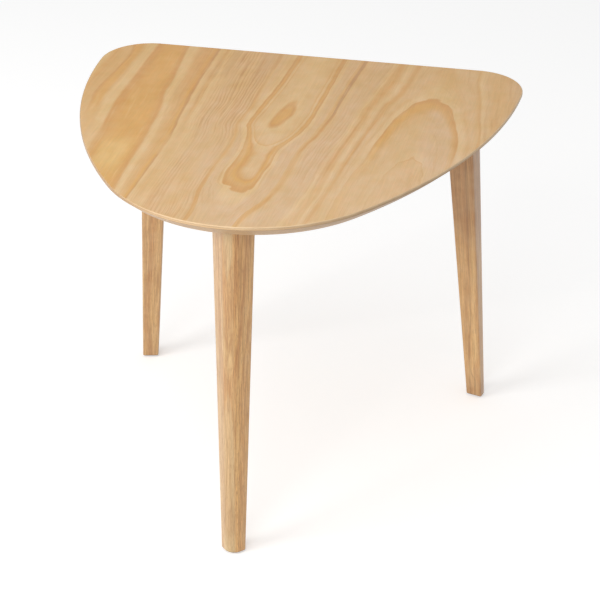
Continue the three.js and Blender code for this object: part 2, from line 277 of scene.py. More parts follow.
def make_group(name, inputs, outputs):
    """An empty node group, its writer, its input sockets and its output node's sockets. Inputs are (name,
    kind, default) and outputs are (name, kind)."""
    tree = bpy.data.node_groups.new(name, "ShaderNodeTree")
    for socket_name, kind, default in inputs:
        socket_type = f"NodeSocket{kind}"
        socket = tree.interface.new_socket(name=socket_name, in_out="INPUT", socket_type=socket_type)
        if default is not None:
            socket.default_value = default
    for socket_name, kind in outputs:
        tree.interface.new_socket(name=socket_name, in_out="OUTPUT", socket_type=f"NodeSocket{kind}")
    write = NodeWriter(tree)
    return tree, write, write.add("NodeGroupInput").outputs, write.add("NodeGroupOutput").inputs


def make_material(name):
    """A material with a fresh Principled shader: returns it, its writer and the shader node."""
    material = bpy.data.materials.new(name)
    material.use_nodes = True
    material.node_tree.nodes.clear()
    write = NodeWriter(material.node_tree)
    shader = write.add("ShaderNodeBsdfPrincipled")
    write.add("ShaderNodeOutputMaterial", {"Surface": shader.outputs[0]})
    return material, write, shader


def complete(material, write, shader, sockets, height=None, strength=0.0, distance=0.0):
    """Feeds the shader's sockets by name, adds a bump where a height is given, and lays out the tree."""
    for name, value in sockets.items():
        write.feed(shader.inputs[name], value)
    if height is not None:
        bump = write.add("ShaderNodeBump", {"Height": height, "Strength": strength, "Distance": distance})
        write.feed(shader.inputs["Normal"], bump.outputs[0])
    lay_out(material.node_tree)
    return material


print("nodes stand in columns", COLUMN_WIDTH, "wide and rows", ROW_HEIGHT, "high")

# %% [markdown]
# ## Room: floor, world and lamps
# The picture is cut out on white, with soft light from everywhere and a little more from the front left.
# A white floor that is white to the camera alone would lose the shadow, so it keeps its diffuse shading
# and adds a little glow. The world does the same: camera, mirror and glass rays see plain white, and the
# light that falls on the wood stays at a plain level.

# %% Floor and world
WHITE = (1.0, 1.0, 1.0, 1.0)
FLOOR_HALF_WIDTH = 6.0
FLOOR_WHITENESS = 0.80
FLOOR_GLOW = 0.40
ROOM_LIGHT_STRENGTH = 0.52


def seen_directly(write):
    """1 for rays from the camera, a mirror or through glass, and 0 for the rays that gather light."""
    rays = write.add("ShaderNodeLightPath").outputs
    either = write.math("MAXIMUM", rays["Is Camera Ray"], rays["Is Glossy Ray"])
    return write.math("MAXIMUM", either, rays["Is Transmission Ray"])


def make_floor():
    half = FLOOR_HALF_WIDTH
    corners = [(-half, -half, 0.0), (half, -half, 0.0), (half, half, 0.0), (-half, half, 0.0)]
    mesh = bpy.data.meshes.new("floor")
    mesh.from_pydata(corners, [], [(0, 1, 2, 3)])
    floor = in_scene("floor", mesh)
    material, write, shader = make_material("white_floor")
    looks = {
        "Base Color": (FLOOR_WHITENESS, FLOOR_WHITENESS, FLOOR_WHITENESS, 1.0), "Roughness": 0.9,
        "Specular IOR Level": 0.0, "Emission Color": WHITE,
        "Emission Strength": write.times(seen_directly(write), FLOOR_GLOW)
    }
    mesh.materials.append(complete(material, write, shader, looks))


def make_world():
    world = bpy.data.worlds.new("studio")
    world.use_nodes = True
    world.node_tree.nodes.clear()
    write = NodeWriter(world.node_tree)
    light = write.add("ShaderNodeBackground", {"Color": WHITE, "Strength": ROOM_LIGHT_STRENGTH})
    white = write.add("ShaderNodeBackground", {"Color": WHITE, "Strength": 1.0})
    shaders = {0: seen_directly(write), 1: light.outputs[0], 2: white.outputs[0]}
    mix = write.add("ShaderNodeMixShader", shaders)
    write.add("ShaderNodeOutputWorld", {"Surface": mix.outputs[0]})
    lay_out(world.node_tree)
    bpy.context.scene.world = world


make_floor()
make_world()
bpy.context.scene.view_settings.view_transform = "Standard"
print("room light strength:", ROOM_LIGHT_STRENGTH)

# %% [markdown]
# Three square lamps stand round the table: a strong one at the left, a weaker one in front and a broad one
# overhead. Each is turned so that it looks at the middle of the table. A wide lamp gives soft shadows, and
# a little warmth in its colour keeps the wood from looking grey.

# %% Soft lamps
TABLE_MIDDLE = Vector((0.0, 0.0, 0.4))
WARM_WHITE = (1.0, 0.995, 0.985)


def soft_lamp(name, place, width, watts, colour):
    """A square area lamp that looks at the middle of the table."""
    data = bpy.data.lights.new(name, "AREA")
    data.shape = "SQUARE"
    data.size = width
    data.energy = watts
    data.color = colour
    aim = (TABLE_MIDDLE - Vector(place)).to_track_quat("-Z", "Y").to_matrix().to_4x4()
    in_scene(name, data).matrix_world = Matrix.Translation(place) @ aim


soft_lamp("left_lamp", (-2.2, -1.75, 1.65), 1.4, 37.0, WARM_WHITE)
soft_lamp("front_lamp", (-0.2, -2.75, 2.0), 1.3, 20.5, WARM_WHITE)
soft_lamp("overhead_lamp", (-0.3, -0.9, 2.6), 1.8, 12.0, WHITE[:3])
print("lamps:", [lamp.name for lamp in bpy.data.lights])

# %% [markdown]
# ## Surfaces from grids
# Nearly every piece here is a skin over a grid of points: rows climb the piece and columns go round it.
# numpy works out the whole grid at once, and one helper turns it into a mesh, so that no loop ever
# touches a single vertex. Rows close on themselves. The first and last rows are either filled with a flat
# face or, on a sleeve, joined to each other.

# %% Grid to mesh
SHARP_ANGLE = math.radians(32)


def skin(name, grid, sleeve=False):
    """Each cell of the grid, rows by columns by xyz, is a quad. The end rows are filled, or joined on a
    sleeve."""
    rows, columns = grid.shape[:2]
    index = np.arange(rows * columns).reshape(rows, columns)
    if sleeve:
        index = np.vstack([index, index[:1]])
    onward = np.roll(index, -1, axis=1)
    quads = np.stack([index[:-1], onward[:-1], onward[1:], index[1:]], axis=-1).reshape(-1, 4)
    caps = [] if sleeve else [index[0][::-1].tolist(), index[-1].tolist()]
    mesh = bpy.data.meshes.new(name)
    mesh.from_pydata(grid.reshape(-1, 3).tolist(), [], quads.tolist() + caps)
    return in_scene(name, mesh)


def at_height(flat, height):
    """Flat points lifted to one height: a row of a grid."""
    return np.column_stack([flat, np.full(len(flat), height)])


def points_of(mesh):
    """All vertex places of a mesh as one array."""
    flat = np.empty(len(mesh.vertices) * 3, dtype=np.float32)
    mesh.vertices.foreach_get("co", flat)
    return flat.reshape(-1, 3)


def store(mesh, name, values):
    """Keeps one number or one vector for each vertex under a name that a material can read."""
    kind, field = ("FLOAT", "value") if values.ndim == 1 else ("FLOAT_VECTOR", "vector")
    attribute = mesh.attributes.new(name, kind, "POINT")
    attribute.data.foreach_set(field, values.astype(np.float32).ravel())


def carve(piece, tool):
    """Cuts the tool out of the piece and keeps the result as the piece's own mesh."""
    cut = piece.modifiers.new("carve", "BOOLEAN")
    cut.operation = "DIFFERENCE"
    cut.solver = "EXACT"
    cut.object = tool
    depsgraph = bpy.context.evaluated_depsgraph_get()
    carved = bpy.data.meshes.new_from_object(piece.evaluated_get(depsgraph))
    carved.name = piece.data.name
    piece.modifiers.remove(cut)
    piece.data = carved
    bpy.data.objects.remove(tool)


def shade(mesh):
    """Smooth shading everywhere but across sharp edges and on the large flat faces."""
    corners = np.empty(len(mesh.polygons), dtype=np.int32)
    mesh.polygons.foreach_get("loop_total", corners)
    mesh.polygons.foreach_set("use_smooth", corners <= 4)
    mesh.set_sharp_from_angle(angle=SHARP_ANGLE)
    mesh.update()


def dress(piece, node):
    """Shades a finished piece and puts it in the place of its frame node, on the one body of the table."""
    shade(piece.data)
    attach(piece, "root")
    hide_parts(node)


print("sharp edges from", round(math.degrees(SHARP_ANGLE)), "degrees")

# %% [markdown]
# ## The table top's outline
# From above the panel is a few circular arcs that run into each other without a corner: a broad nose, a
# long bowed side and a tight back corner, mirrored left to right, with a straight back edge between the
# corners. Moving such an outline inward only shortens each arc's radius, so one function gives every ring
# of the panel.

# %% Outline of the top
top_low, top_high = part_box("table_top")
TOP_HALF_WIDTH = 0.3
TOP_HALF_DEPTH = top_high.y
CORNER_RADIUS = 68 * MM
SIDE_RADIUS = 670 * MM
NOSE_RADIUS = 203 * MM


def circle_crossing(a, a_radius, b, b_radius):
    """The point left of the line from a to b that lies a_radius from a and b_radius from b."""
    line = b - a
    gap = np.hypot(*line)
    along = (gap**2 + a_radius**2 - b_radius**2) / (2 * gap)
    aside = math.sqrt(a_radius**2 - along**2)
    forward = line / gap
    return a + forward * along + np.array([-forward[1], forward[0]]) * aside


def top_outline(inset, steps=40):
    """The nose, side and corner arcs of the right half, drawn in by inset, and then their mirror image."""
    corner = np.array([TOP_HALF_WIDTH - CORNER_RADIUS, TOP_HALF_DEPTH - CORNER_RADIUS])
    nose = np.array([0.0, NOSE_RADIUS - TOP_HALF_DEPTH])
    side = circle_crossing(nose, SIDE_RADIUS - NOSE_RADIUS, corner, SIDE_RADIUS - CORNER_RADIUS)
    nose_end = math.atan2(*(nose - side)[::-1])
    side_end = math.atan2(*(corner - side)[::-1])
    arcs = (
        (nose, NOSE_RADIUS, -math.pi / 2, nose_end),
        (side, SIDE_RADIUS, nose_end, side_end),
        (corner, CORNER_RADIUS, side_end, math.pi / 2),
    )
    stretches = []
    for centre, radius, start, end in arcs:
        turn = np.linspace(start, end, steps, endpoint=False)
        stretches.append(centre + (radius - inset) * np.stack([np.cos(turn), np.sin(turn)], axis=1))
    corner_end = corner + np.array([0.0, CORNER_RADIUS - inset])
    right = np.vstack([*stretches, corner_end])
    left = right[1:][::-1] * [-1.0, 1.0]
    return np.vstack([right, left])


outline = top_outline(0.0)
print("outline points:", len(outline), "size:", np.ptp(outline, axis=0).round(4))

# %% [markdown]
# ## The table top's edge
# The rim looks thin because the panel is undercut: below a short upright band the edge runs back
# underneath at a slant. The upper arris is rounded over, which is what draws the bright line along the
# rim in the picture. The profile below is a list of inset and height pairs, and the grid is that profile
# carried round the outline.

# %% Panel with an undercut rim
UPPER_ARRIS_RADIUS = 1.4 * MM
EDGE_BAND_HEIGHT = 4 * MM
EDGE_UNDERCUT = 16 * MM
LOWER_ARRIS_SIZE = 0.9 * MM
KNEE_RADIUS = 0.6 * MM


def fillet(before, knee, after, radius, steps):
    """Points on an arc of that radius tucked into the corner at knee, between the lines to before and
    after."""
    into = (before - knee) / np.hypot(*(before - knee))
    out = (after - knee) / np.hypot(*(after - knee))
    half_angle = math.acos(np.clip(into @ out, -1, 1)) / 2
    middle_line = (into + out) / np.hypot(*(into + out))
    centre = knee + middle_line * radius / math.sin(half_angle)
    start = knee + into * radius / math.tan(half_angle) - centre
    end = knee + out * radius / math.tan(half_angle) - centre
    share = np.linspace(0, 1, steps + 1)[:, None]
    sweep = math.pi - 2 * half_angle
    return centre + (np.sin((1 - share) * sweep) * start + np.sin(share * sweep) * end) / math.sin(sweep)


def rim_profile(thickness):
    """Underside, slanting undercut, upright band and upper face, with each corner between them rounded."""
    under_start = np.array([EDGE_UNDERCUT + 4 * LOWER_ARRIS_SIZE, 0.0])
    under_end = np.array([EDGE_UNDERCUT, 0.0])
    knee = np.array([0.0, thickness - EDGE_BAND_HEIGHT])
    arris = np.array([0.0, thickness])
    face = np.array([4 * UPPER_ARRIS_RADIUS, thickness])
    return np.vstack([
        under_start,
        fillet(under_start, under_end, knee, LOWER_ARRIS_SIZE, 4),
        fillet(under_end, knee, arris, KNEE_RADIUS, 4),
        fillet(knee, arris, face, UPPER_ARRIS_RADIUS, 8),
        face,
    ])


def make_panel():
    """Rows follow the rim profile upward, and columns follow the outline drawn in by that row's inset."""
    profile = rim_profile(top_high.z - top_low.z)
    rings = [at_height(top_outline(inset), top_low.z + height) for inset, height in profile]
    return skin("pine_ply_panel", np.array(rings))


panel = make_panel()
print("panel faces:", len(panel.data.polygons))

# %% [markdown]
# ## Holes for the inserts
# Twelve blind holes in the underside hold the threaded inserts. Nobody sees them on a standing table, but
# the panel can be turned over or taken apart, so they are really cut. The tool for all twelve is one mesh
# of cylinders, and the frame says where each insert is.

# %% Drill the panel
SEAT_GAP = 0.3 * MM
HOLE_SIDES = 40
OVERRUN = 2 * MM
HOLE_HEADROOM = 1.1 * MM


def nodes_named(start):
    return sorted(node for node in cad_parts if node.startswith(start))


def middle_of(node):
    """Where the axis of an upright round node stands, seen from above."""
    low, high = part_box(node)
    return np.array([(low.x + high.x) / 2, (low.y + high.y) / 2])


def turned(profile, centre=(0.0, 0.0), sides=HOLE_SIDES):
    """The grid of a round piece: (radius, height) pairs carried round an upright axis."""
    angle = np.arange(sides) / sides * 2 * math.pi
    radius, height = np.array(profile, dtype=float).T[..., None]
    x = centre[0] + radius * np.cos(angle)
    y = centre[1] + radius * np.sin(angle)
    return np.stack([x, y, height + 0 * angle], axis=-1)


def hole_tool(node, radius, low, high):
    """A plain cylinder on the node's axis, with a seat gap round the radius that it makes room for."""
    wide = radius + SEAT_GAP
    return skin(f"tool_{node}", turned([(wide, low), (wide, high)], middle_of(node)))


def joined(parts):
    """Several tools as one, with every part's own mesh used up."""
    for part in parts:
        part.select_set(True)
    bpy.context.view_layer.objects.active = parts[0]
    with bpy.context.temp_override(active_object=parts[0], selected_editable_objects=parts):
        bpy.ops.object.join()
    parts[0].select_set(False)
    return parts[0]


def drill_panel():
    """A cylinder round each insert, from below the panel to just above the insert."""
    drills = []
    for node in nodes_named("insert_"):
        low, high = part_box(node)
        drills.append(hole_tool(node, (high.x - low.x) / 2, top_low.z - OVERRUN, high.z + HOLE_HEADROOM))
    carve(panel, joined(drills))
    return len(drills)


print("holes drilled:", drill_panel())

# %% [markdown]
# The rim gets its own finish, because it shows the plies and not the face veneer, so the faces are sorted
# by which way they point. A second number on each vertex marks the arris, where hands and cloths polish the
# lacquer first and where the panel's materials also paint a highlight.

# %% Sort the panel's faces and mark its arris
FACE_SLOT, RIM_SLOT = 0, 1
FACING_UP = 0.985
ARRIS_REACH = 3 * UPPER_ARRIS_RADIUS
FACE_SLACK = 0.02 * UPPER_ARRIS_RADIUS
MARK_ON_FACE = 0.5


def finish_panel():
    """Faces that point nearly straight up or down are veneer. The arris mark falls to 0 within three radii
    of the corner."""
    mesh = panel.data
    normals = np.empty(len(mesh.polygons) * 3, dtype=np.float32)
    mesh.polygons.foreach_get("normal", normals)
    is_rim = np.abs(normals.reshape(-1, 3)[:, 2]) < FACING_UP
    mesh.polygons.foreach_set("material_index", np.where(is_rim, RIM_SLOT, FACE_SLOT).astype(np.int32))
    height = points_of(mesh)[:, 2]
    below = (top_high.z - height) / ARRIS_REACH
    on_rim = height < top_high.z - FACE_SLACK
    store(mesh, "arris", np.clip(1 - below, 0, 1) * np.where(on_rim, 1.0, MARK_ON_FACE) * (below < 1))
    dress(panel, "table_top")
    return int(is_rim.sum())


print("rim faces:", finish_panel())

# %% [markdown]
# ## Legs
# Each leg was sawn from a square bar set with a corner facing outward. It tapers evenly to the foot and
# leans, and only the outer corner is well rounded. So the skin is one section, four straight sides and
# four corner arcs, that shrinks and slides as it goes down. The same numbers as in the frame place it:
# the lean, the two widths and the two radii.

# %% Leg sections
LEG_LEAN = 42 * MM
LEG_FOOT_WIDTH = 24 * MM
LEG_TOP_WIDTH = 40 * MM
LEG_OUTER_RADIUS = 15 * MM
LEG_ARRIS_RADIUS = 2.4 * MM
FOOT_EASING = 1.6 * MM
EASING_ROWS = 7
LEG_ROWS = 40


def foot_places():
    """Each foot's middle and the angle of the line out through it from the middle of all three."""
    feet = {side: middle_of(f"foot_glide_{side}") for side in ("front", "back_left", "back_right")}
    middle = np.mean(list(feet.values()), axis=0)
    return {side: (foot, math.atan2(*(foot - middle)[::-1])) for side, foot in feet.items()}


def leg_width(rise):
    return LEG_FOOT_WIDTH + (LEG_TOP_WIDTH - LEG_FOOT_WIDTH) * rise


def leg_section(width, inset, steps=10):
    """Four corner arcs round a square of that width with a corner toward +x. Straight sides join arc to
    arc."""
    corners = np.arange(4)
    radius = np.where(corners == 0, LEG_OUTER_RADIUS, LEG_ARRIS_RADIUS)[:, None]
    reach = (width / 2 - radius) * math.sqrt(2)
    facing = corners[:, None] * math.pi / 2
    turn = facing + np.linspace(-math.pi / 4, math.pi / 4, steps)[None, :]
    across = reach * np.cos(facing) + (radius - inset) * np.cos(turn)
    aside = reach * np.sin(facing) + (radius - inset) * np.sin(turn)
    return np.stack([across.ravel(), aside.ravel()], axis=1)


def leg_span(side):
    low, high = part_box(f"leg_{side}")
    return low.z, high.z


def turn_by(angle):
    """The matrix that turns flat points by an angle, as rows times matrix."""
    return np.array([[math.cos(angle), math.sin(angle)], [-math.sin(angle), math.cos(angle)]])


legs_at = foot_places()
print("feet at:", {side: [round(float(v), 4) for v in foot] for side, (foot, turn) in legs_at.items()})

# %% [markdown]
# A leg's grain runs along its own axis and not along the room's, so every vertex also remembers where it
# is on the leg: across, aside and along. A material that reads this memory cuts through the wood as a saw
# would, with straight grain down the sides and growth rings on the sawn ends. Each leg starts from
# another place in the tree.

# %% Legs with their grain
TREE_PLACES = {
    "front": (0.0, 0.0, 0.0), "back_left": (0.004, -0.016, 1.3), "back_right": (-0.006, 0.012, 2.6)
}
LEG_SCREW_RADIUS = 2.25 * MM
NAIL_RADIUS = 1.2 * MM
WORN_FROM = 1.0 * MM
WORN_OVER = 2.4 * MM


def on_the_leg(place, side):
    """Undoes the leg's placing: turn back about the foot, then slide back by the lean that goes with the
    height."""
    foot, outward = legs_at[side]
    low, high = leg_span(side)
    local = (place[:, :2] - foot) @ turn_by(-outward)
    rise = (place[:, 2] - low) / (high - low)
    return np.column_stack([local[:, 0] + LEG_LEAN * rise, local[:, 1], place[:, 2]])


def make_leg(side):
    """Rows run from the eased foot to the top. Each row's section is as wide as its height asks, slid by
    the lean."""
    foot, outward = legs_at[side]
    low, high = leg_span(side)
    ease = np.linspace(0, math.pi / 2, EASING_ROWS)
    climb = np.linspace(0, high - low, LEG_ROWS)
    heights = np.concatenate([FOOT_EASING * (1 - np.cos(ease)), climb[climb > FOOT_EASING]])
    insets = np.concatenate([FOOT_EASING * (1 - np.sin(ease)), np.zeros(len(heights) - EASING_ROWS)])
    rows = []
    for height, inset in zip(heights, insets):
        rise = height / (high - low)
        section = leg_section(leg_width(rise), inset)
        section[:, 0] -= LEG_LEAN * rise
        rows.append(at_height(section @ turn_by(outward) + foot, low + height))
    return skin(f"tapered_leg_{side}", np.array(rows))


def leg_holes(side):
    """A cylinder round each wood screw below the plate, and one round the glide's nail."""
    low, high = leg_span(side)
    holes = []
    for node in nodes_named(f"leg_screw_{side}_"):
        holes.append(hole_tool(node, LEG_SCREW_RADIUS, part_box(node)[0].z - SEAT_GAP, high + OVERRUN))
    glide = f"foot_glide_{side}"
    holes.append(hole_tool(glide, NAIL_RADIUS, low - OVERRUN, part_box(glide)[1].z + SEAT_GAP))
    return joined(holes)


def finish_leg(side):
    """Stores each vertex's place in the tree, and an arris mark that falls off away from the three sharper
    corners."""
    mesh = legs[side].data
    low, high = leg_span(side)
    local = on_the_leg(points_of(mesh), side)
    store(mesh, "grain", local + np.array(TREE_PLACES[side]))
    half_diagonal = leg_width((local[:, 2] - low) / (high - low)) / math.sqrt(2)
    corner_gap = half_diagonal - np.maximum(np.abs(local[:, 1]), -local[:, 0])
    store(mesh, "arris", np.clip(1 - (corner_gap - WORN_FROM) / WORN_OVER, 0, 1))
    dress(legs[side], f"leg_{side}")


legs = {}
for side in legs_at:
    legs[side] = make_leg(side)
    carve(legs[side], leg_holes(side))
    finish_leg(side)
print("leg faces:", {side: len(leg.data.polygons) for side, leg in legs.items()})

# %% [markdown]
# ## Mounting plates
# A plate is stamped from 3 mm strip: a rounded rectangle with its edges slightly rolled over by the
# punch. It is a grid again, with four rows for the rolled rim at each face. The bolt holes and the
# countersinks are cut afterwards.

# %% Plates
PLATE_LENGTH = 72 * MM
PLATE_WIDTH = 78 * MM
PLATE_CORNER_RADIUS = 9 * MM
PLATE_ROLL = 0.4 * MM
PLATE_ROLL_ROWS = 4
BOLT_RADIUS = 3 * MM
LEG_SCREW_HEAD_RADIUS = 4.5 * MM
SINK_DEPTH = 0.8 * MM


def plate_outline(inset, steps=12):
    """A rectangle whose four corners are quarter circles, all drawn in by inset."""
    centre_x = np.array([1, -1, -1, 1]) * (PLATE_LENGTH / 2 - PLATE_CORNER_RADIUS)
    centre_y = np.array([1, 1, -1, -1]) * (PLATE_WIDTH / 2 - PLATE_CORNER_RADIUS)
    turn = np.arange(4)[:, None] * math.pi / 2 + np.linspace(0, math.pi / 2, steps)[None, :]
    radius = PLATE_CORNER_RADIUS - inset
    x = centre_x[:, None] + radius * np.cos(turn)
    y = centre_y[:, None] + radius * np.sin(turn)
    return np.stack([x.ravel(), y.ravel()], axis=1)


def make_plate(side):
    """Eight rows: four roll the edge in at the lower face, and four at the upper one."""
    foot, outward = legs_at[side]
    low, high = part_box(f"mount_plate_{side}")
    turns = np.linspace(0, math.pi / 2, PLATE_ROLL_ROWS)
    insets = PLATE_ROLL * (1 - np.sin(turns))
    lifts = PLATE_ROLL * (1 - np.cos(turns))
    rows = []
    for inset, z in [*zip(insets, low.z + lifts), *zip(insets[::-1], high.z - lifts[::-1])]:
        flat = (plate_outline(inset) + [-LEG_LEAN, 0.0]) @ turn_by(outward) + foot
        rows.append(at_height(flat, z))
    return skin(f"steel_plate_{side}", np.array(rows))


def plate_holes(side):
    """A countersunk hole for each wood screw and a plain one for each bolt."""
    low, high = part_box(f"mount_plate_{side}")
    bottom, top, rim = low.z - OVERRUN, high.z + OVERRUN, high.z - SINK_DEPTH
    shank = LEG_SCREW_RADIUS + SEAT_GAP
    head = LEG_SCREW_HEAD_RADIUS + SEAT_GAP
    sink = [(shank, bottom), (shank, rim - (head - shank)), (head, rim), (head, top)]
    tools = [
        skin(f"sink_{node}", turned(sink, middle_of(node))) for node in nodes_named(f"leg_screw_{side}_")
    ]
    tools += [hole_tool(node, BOLT_RADIUS, bottom, top) for node in nodes_named(f"plate_bolt_{side}_")]
    return joined(tools)


plates = []
for side in legs_at:
    plate = make_plate(side)
    carve(plate, plate_holes(side))
    dress(plate, f"mount_plate_{side}")
    plates.append(plate)
print("plates:", sorted(plate.name for plate in plates))

# %% [markdown]
# ## Screws, bolts and inserts
# A thread is a ridge that climbs as it goes round, so its radius is a wave of height minus pitch times
# turn. A grid can say that directly: rows climb, columns go round, and the wave is taken off the radius
# where the thread is cut. That gives one seamless skin for a bolt, a screw or a sleeve. Near the ends of
# the thread the wave fades out.

# %% Threaded fasteners
FASTENER_SIDES = 28
ROWS_PER_TURN = 8
BOLT_HEAD_HEIGHT = 3.3 * MM
BOLT_HEAD_RADIUS = 5.25 * MM
BOLT_FLAT_RADIUS = 2.8 * MM
BOLT_CHAMFER = 0.8 * MM
BOLT_NECK = 4.0 * MM
SCREW_TIP_RADIUS = 0.15 * MM
SCREW_POINT = 5 * MM
SCREW_HEAD_RIM = 0.5 * MM
SCREW_THREAD_START = 1.0 * MM
INSERT_RADIUS = 5 * MM
INSERT_RIM = 0.7 * MM
BORE_ROWS = 6
BOLT_THREAD = (1.0 * MM, 0.5 * MM)
SCREW_THREAD = (2.2 * MM, 0.8 * MM)
INSERT_THREAD = (2.4 * MM, 0.9 * MM)


def threaded_grid(profile, pitch, depth, thread_low, thread_high):
    """Radius = smooth profile minus depth times a triangle wave of (height / pitch minus turn), faded at
    both ends."""
    radii, heights = np.array(profile, dtype=float).T
    run = np.concatenate([[0.0], np.cumsum(np.hypot(np.diff(radii), np.diff(heights)))])
    thread_rows = np.arange(thread_low, thread_high, pitch / ROWS_PER_TURN)
    stops = np.unique(np.round(np.concatenate([run, np.interp(thread_rows, heights, run)]), 7))
    radius = np.interp(stops, run, radii)[:, None]
    height = np.interp(stops, run, heights)[:, None]
    turn = np.arange(FASTENER_SIDES) / FASTENER_SIDES
    wave = np.abs(2 * ((height / pitch - turn[None, :]) % 1) - 1)
    fade = np.clip(np.minimum(height - thread_low, thread_high - height) / pitch, 0, 1)
    radius = radius - depth * wave * fade
    angle = 2 * math.pi * turn[None, :]
    return np.stack([radius * np.cos(angle), radius * np.sin(angle), height + 0 * angle], axis=-1)


def dome(flat_radius, radius, height, steps=8):
    """A quarter ellipse from the rim of the flat, at the bottom, out to the full radius at height 0."""
    turn = np.linspace(0, math.pi / 2, steps)
    return list(zip(flat_radius + (radius - flat_radius) * np.sin(turn), -height * np.cos(turn)))


def bolt_grid(length):
    """Domed head below height 0, bearing face, plain neck, then an M6 thread up to a chamfered tip."""
    profile = [
        *dome(BOLT_FLAT_RADIUS, BOLT_HEAD_RADIUS, BOLT_HEAD_HEIGHT), (BOLT_RADIUS, 0.0),
        (BOLT_RADIUS, length - BOLT_CHAMFER), (BOLT_RADIUS - BOLT_CHAMFER, length)
    ]
    return threaded_grid(profile, *BOLT_THREAD, BOLT_NECK, length - BOLT_CHAMFER / 2)


def wood_screw_grid(length):
    """Pointed tip below, coarse thread on two thirds of the shank, then the countersunk head with its thin
    rim."""
    rim = length - SCREW_HEAD_RIM
    profile = [
        (SCREW_TIP_RADIUS, 0.0), (LEG_SCREW_RADIUS, SCREW_POINT),
        (LEG_SCREW_RADIUS, rim - (LEG_SCREW_HEAD_RADIUS - LEG_SCREW_RADIUS)), (LEG_SCREW_HEAD_RADIUS, rim),
        (LEG_SCREW_HEAD_RADIUS, length)
    ]
    return threaded_grid(profile, *SCREW_THREAD, SCREW_THREAD_START, length * 2 / 3)


def insert_grid(length):
    """A sleeve: down the threaded outside, over the rim and through the bore."""
    slim = INSERT_RADIUS - INSERT_RIM
    outer = [(slim, 0.0), (INSERT_RADIUS, INSERT_RIM), (INSERT_RADIUS, length - INSERT_RIM), (slim, length)]
    outside = threaded_grid(outer, *INSERT_THREAD, INSERT_RIM, length - INSERT_RIM)
    bore = [(BOLT_RADIUS + SEAT_GAP, z) for z in np.linspace(length, 0.0, BORE_ROWS)]
    return np.concatenate([outside, turned(bore, sides=FASTENER_SIDES)])


print("grid of a 20 mm bolt:", bolt_grid(20 * MM).shape[:2])

# %% [markdown]
# Every grid so far stands on the origin. Here each one is lifted to its base and carried onto the axis of
# its node. Then a hexagon is punched into the head of each bolt for the key, and a cross into the head of
# each wood screw. A recess is cut like any hole, with a tool that is a grid of only two rows.

# %% Place the fasteners
SOCKET_ACROSS_FLATS = 4 * MM
SOCKET_DEPTH = 2 * MM
CROSS_LENGTH = 4.6 * MM
CROSS_WIDTH = 1.1 * MM
CROSS_DEPTH = 1.6 * MM


def hexagon(across_flats):
    turn = np.arange(6) / 6 * 2 * math.pi
    return across_flats / math.sqrt(3) * np.stack([np.cos(turn), np.sin(turn)], axis=1)


def cross(length, width):
    """The twelve corners of a plus sign."""
    half, thin = length / 2, width / 2
    arm = np.array([[half, -thin], [half, thin], [thin, thin]])
    quarter = np.array([[0.0, 1.0], [-1.0, 0.0]])
    return np.vstack([arm @ np.linalg.matrix_power(quarter, k) for k in range(4)])


def on_axis(node, grid, base, old, new, sleeve=False):
    """The grid lifted to its base on the node's axis, as a piece with old in the node's name made new."""
    grid[..., 2] += base
    grid[..., :2] += middle_of(node)
    return skin(node.replace(old, new), grid, sleeve)


def punch(piece, node, flat, low, high):
    """Carves a straight-sided recess with that outline between two heights on the node's axis."""
    corners = flat + middle_of(node)
    carve(piece, skin("punch", np.array([at_height(corners, low), at_height(corners, high)])))


def make_bolt(node):
    low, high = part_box(node)
    grid = bolt_grid(high.z - low.z - BOLT_HEAD_HEIGHT)
    bolt = on_axis(node, grid, low.z + BOLT_HEAD_HEIGHT, "plate_bolt", "button_bolt")
    punch(bolt, node, hexagon(SOCKET_ACROSS_FLATS), low.z - OVERRUN, low.z + SOCKET_DEPTH)
    dress(bolt, node)
    return bolt


def make_wood_screw(node):
    low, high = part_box(node)
    screw = on_axis(node, wood_screw_grid(high.z - low.z), low.z, "leg_screw", "wood_screw")
    punch(screw, node, cross(CROSS_LENGTH, CROSS_WIDTH), high.z - CROSS_DEPTH, high.z + OVERRUN)
    dress(screw, node)
    return screw


def make_insert(node):
    low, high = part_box(node)
    insert = on_axis(node, insert_grid(high.z - low.z), low.z, "insert", "threaded_insert", sleeve=True)
    dress(insert, node)
    return insert


bolts = [make_bolt(node) for node in nodes_named("plate_bolt_")]
wood_screws = [make_wood_screw(node) for node in nodes_named("leg_screw_")]
inserts = [make_insert(node) for node in nodes_named("insert_")]
print("made:", len(bolts), "bolts,", len(wood_screws), "wood screws,", len(inserts), "inserts")

# %% [markdown]
# ## Foot glides
# A glide is turned in one piece with its nail: a low disc with a soft rim, a flat back and a pointed
# nail. Its grid is the same revolved profile as a fastener's, with no thread on it.

# %% Glides
GLIDE_THICKNESS = 2 * MM
GLIDE_ROLL = 0.8 * MM
GLIDE_ROLL_ROWS = 7
GLIDE_SIDES = 48
GLIDE_BACK_BEVEL = 0.3 * MM
NAIL_POINT = 3 * MM
NAIL_TIP_RADIUS = 0.1 * MM


def make_glide(side):
    """Rows run from the rolled edge of the disc, over its bevelled back and up the nail to its point."""
    node = f"foot_glide_{side}"
    low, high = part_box(node)
    rim = (high.x - low.x) / 2
    turn = np.linspace(0, math.pi / 2, GLIDE_ROLL_ROWS)
    profile = [
        *zip(rim - GLIDE_ROLL * (1 - np.sin(turn)), GLIDE_ROLL * (1 - np.cos(turn))),
        (rim, GLIDE_THICKNESS - GLIDE_BACK_BEVEL), (rim - GLIDE_BACK_BEVEL, GLIDE_THICKNESS),
        (NAIL_RADIUS, GLIDE_THICKNESS), (NAIL_RADIUS, high.z - NAIL_POINT), (NAIL_TIP_RADIUS, high.z)
    ]
    glide = skin(f"nylon_glide_{side}", turned(profile, middle_of(node), GLIDE_SIDES))
    dress(glide, node)
    return glide


glides = [make_glide(side) for side in legs_at]
print("glides:", len(glides))

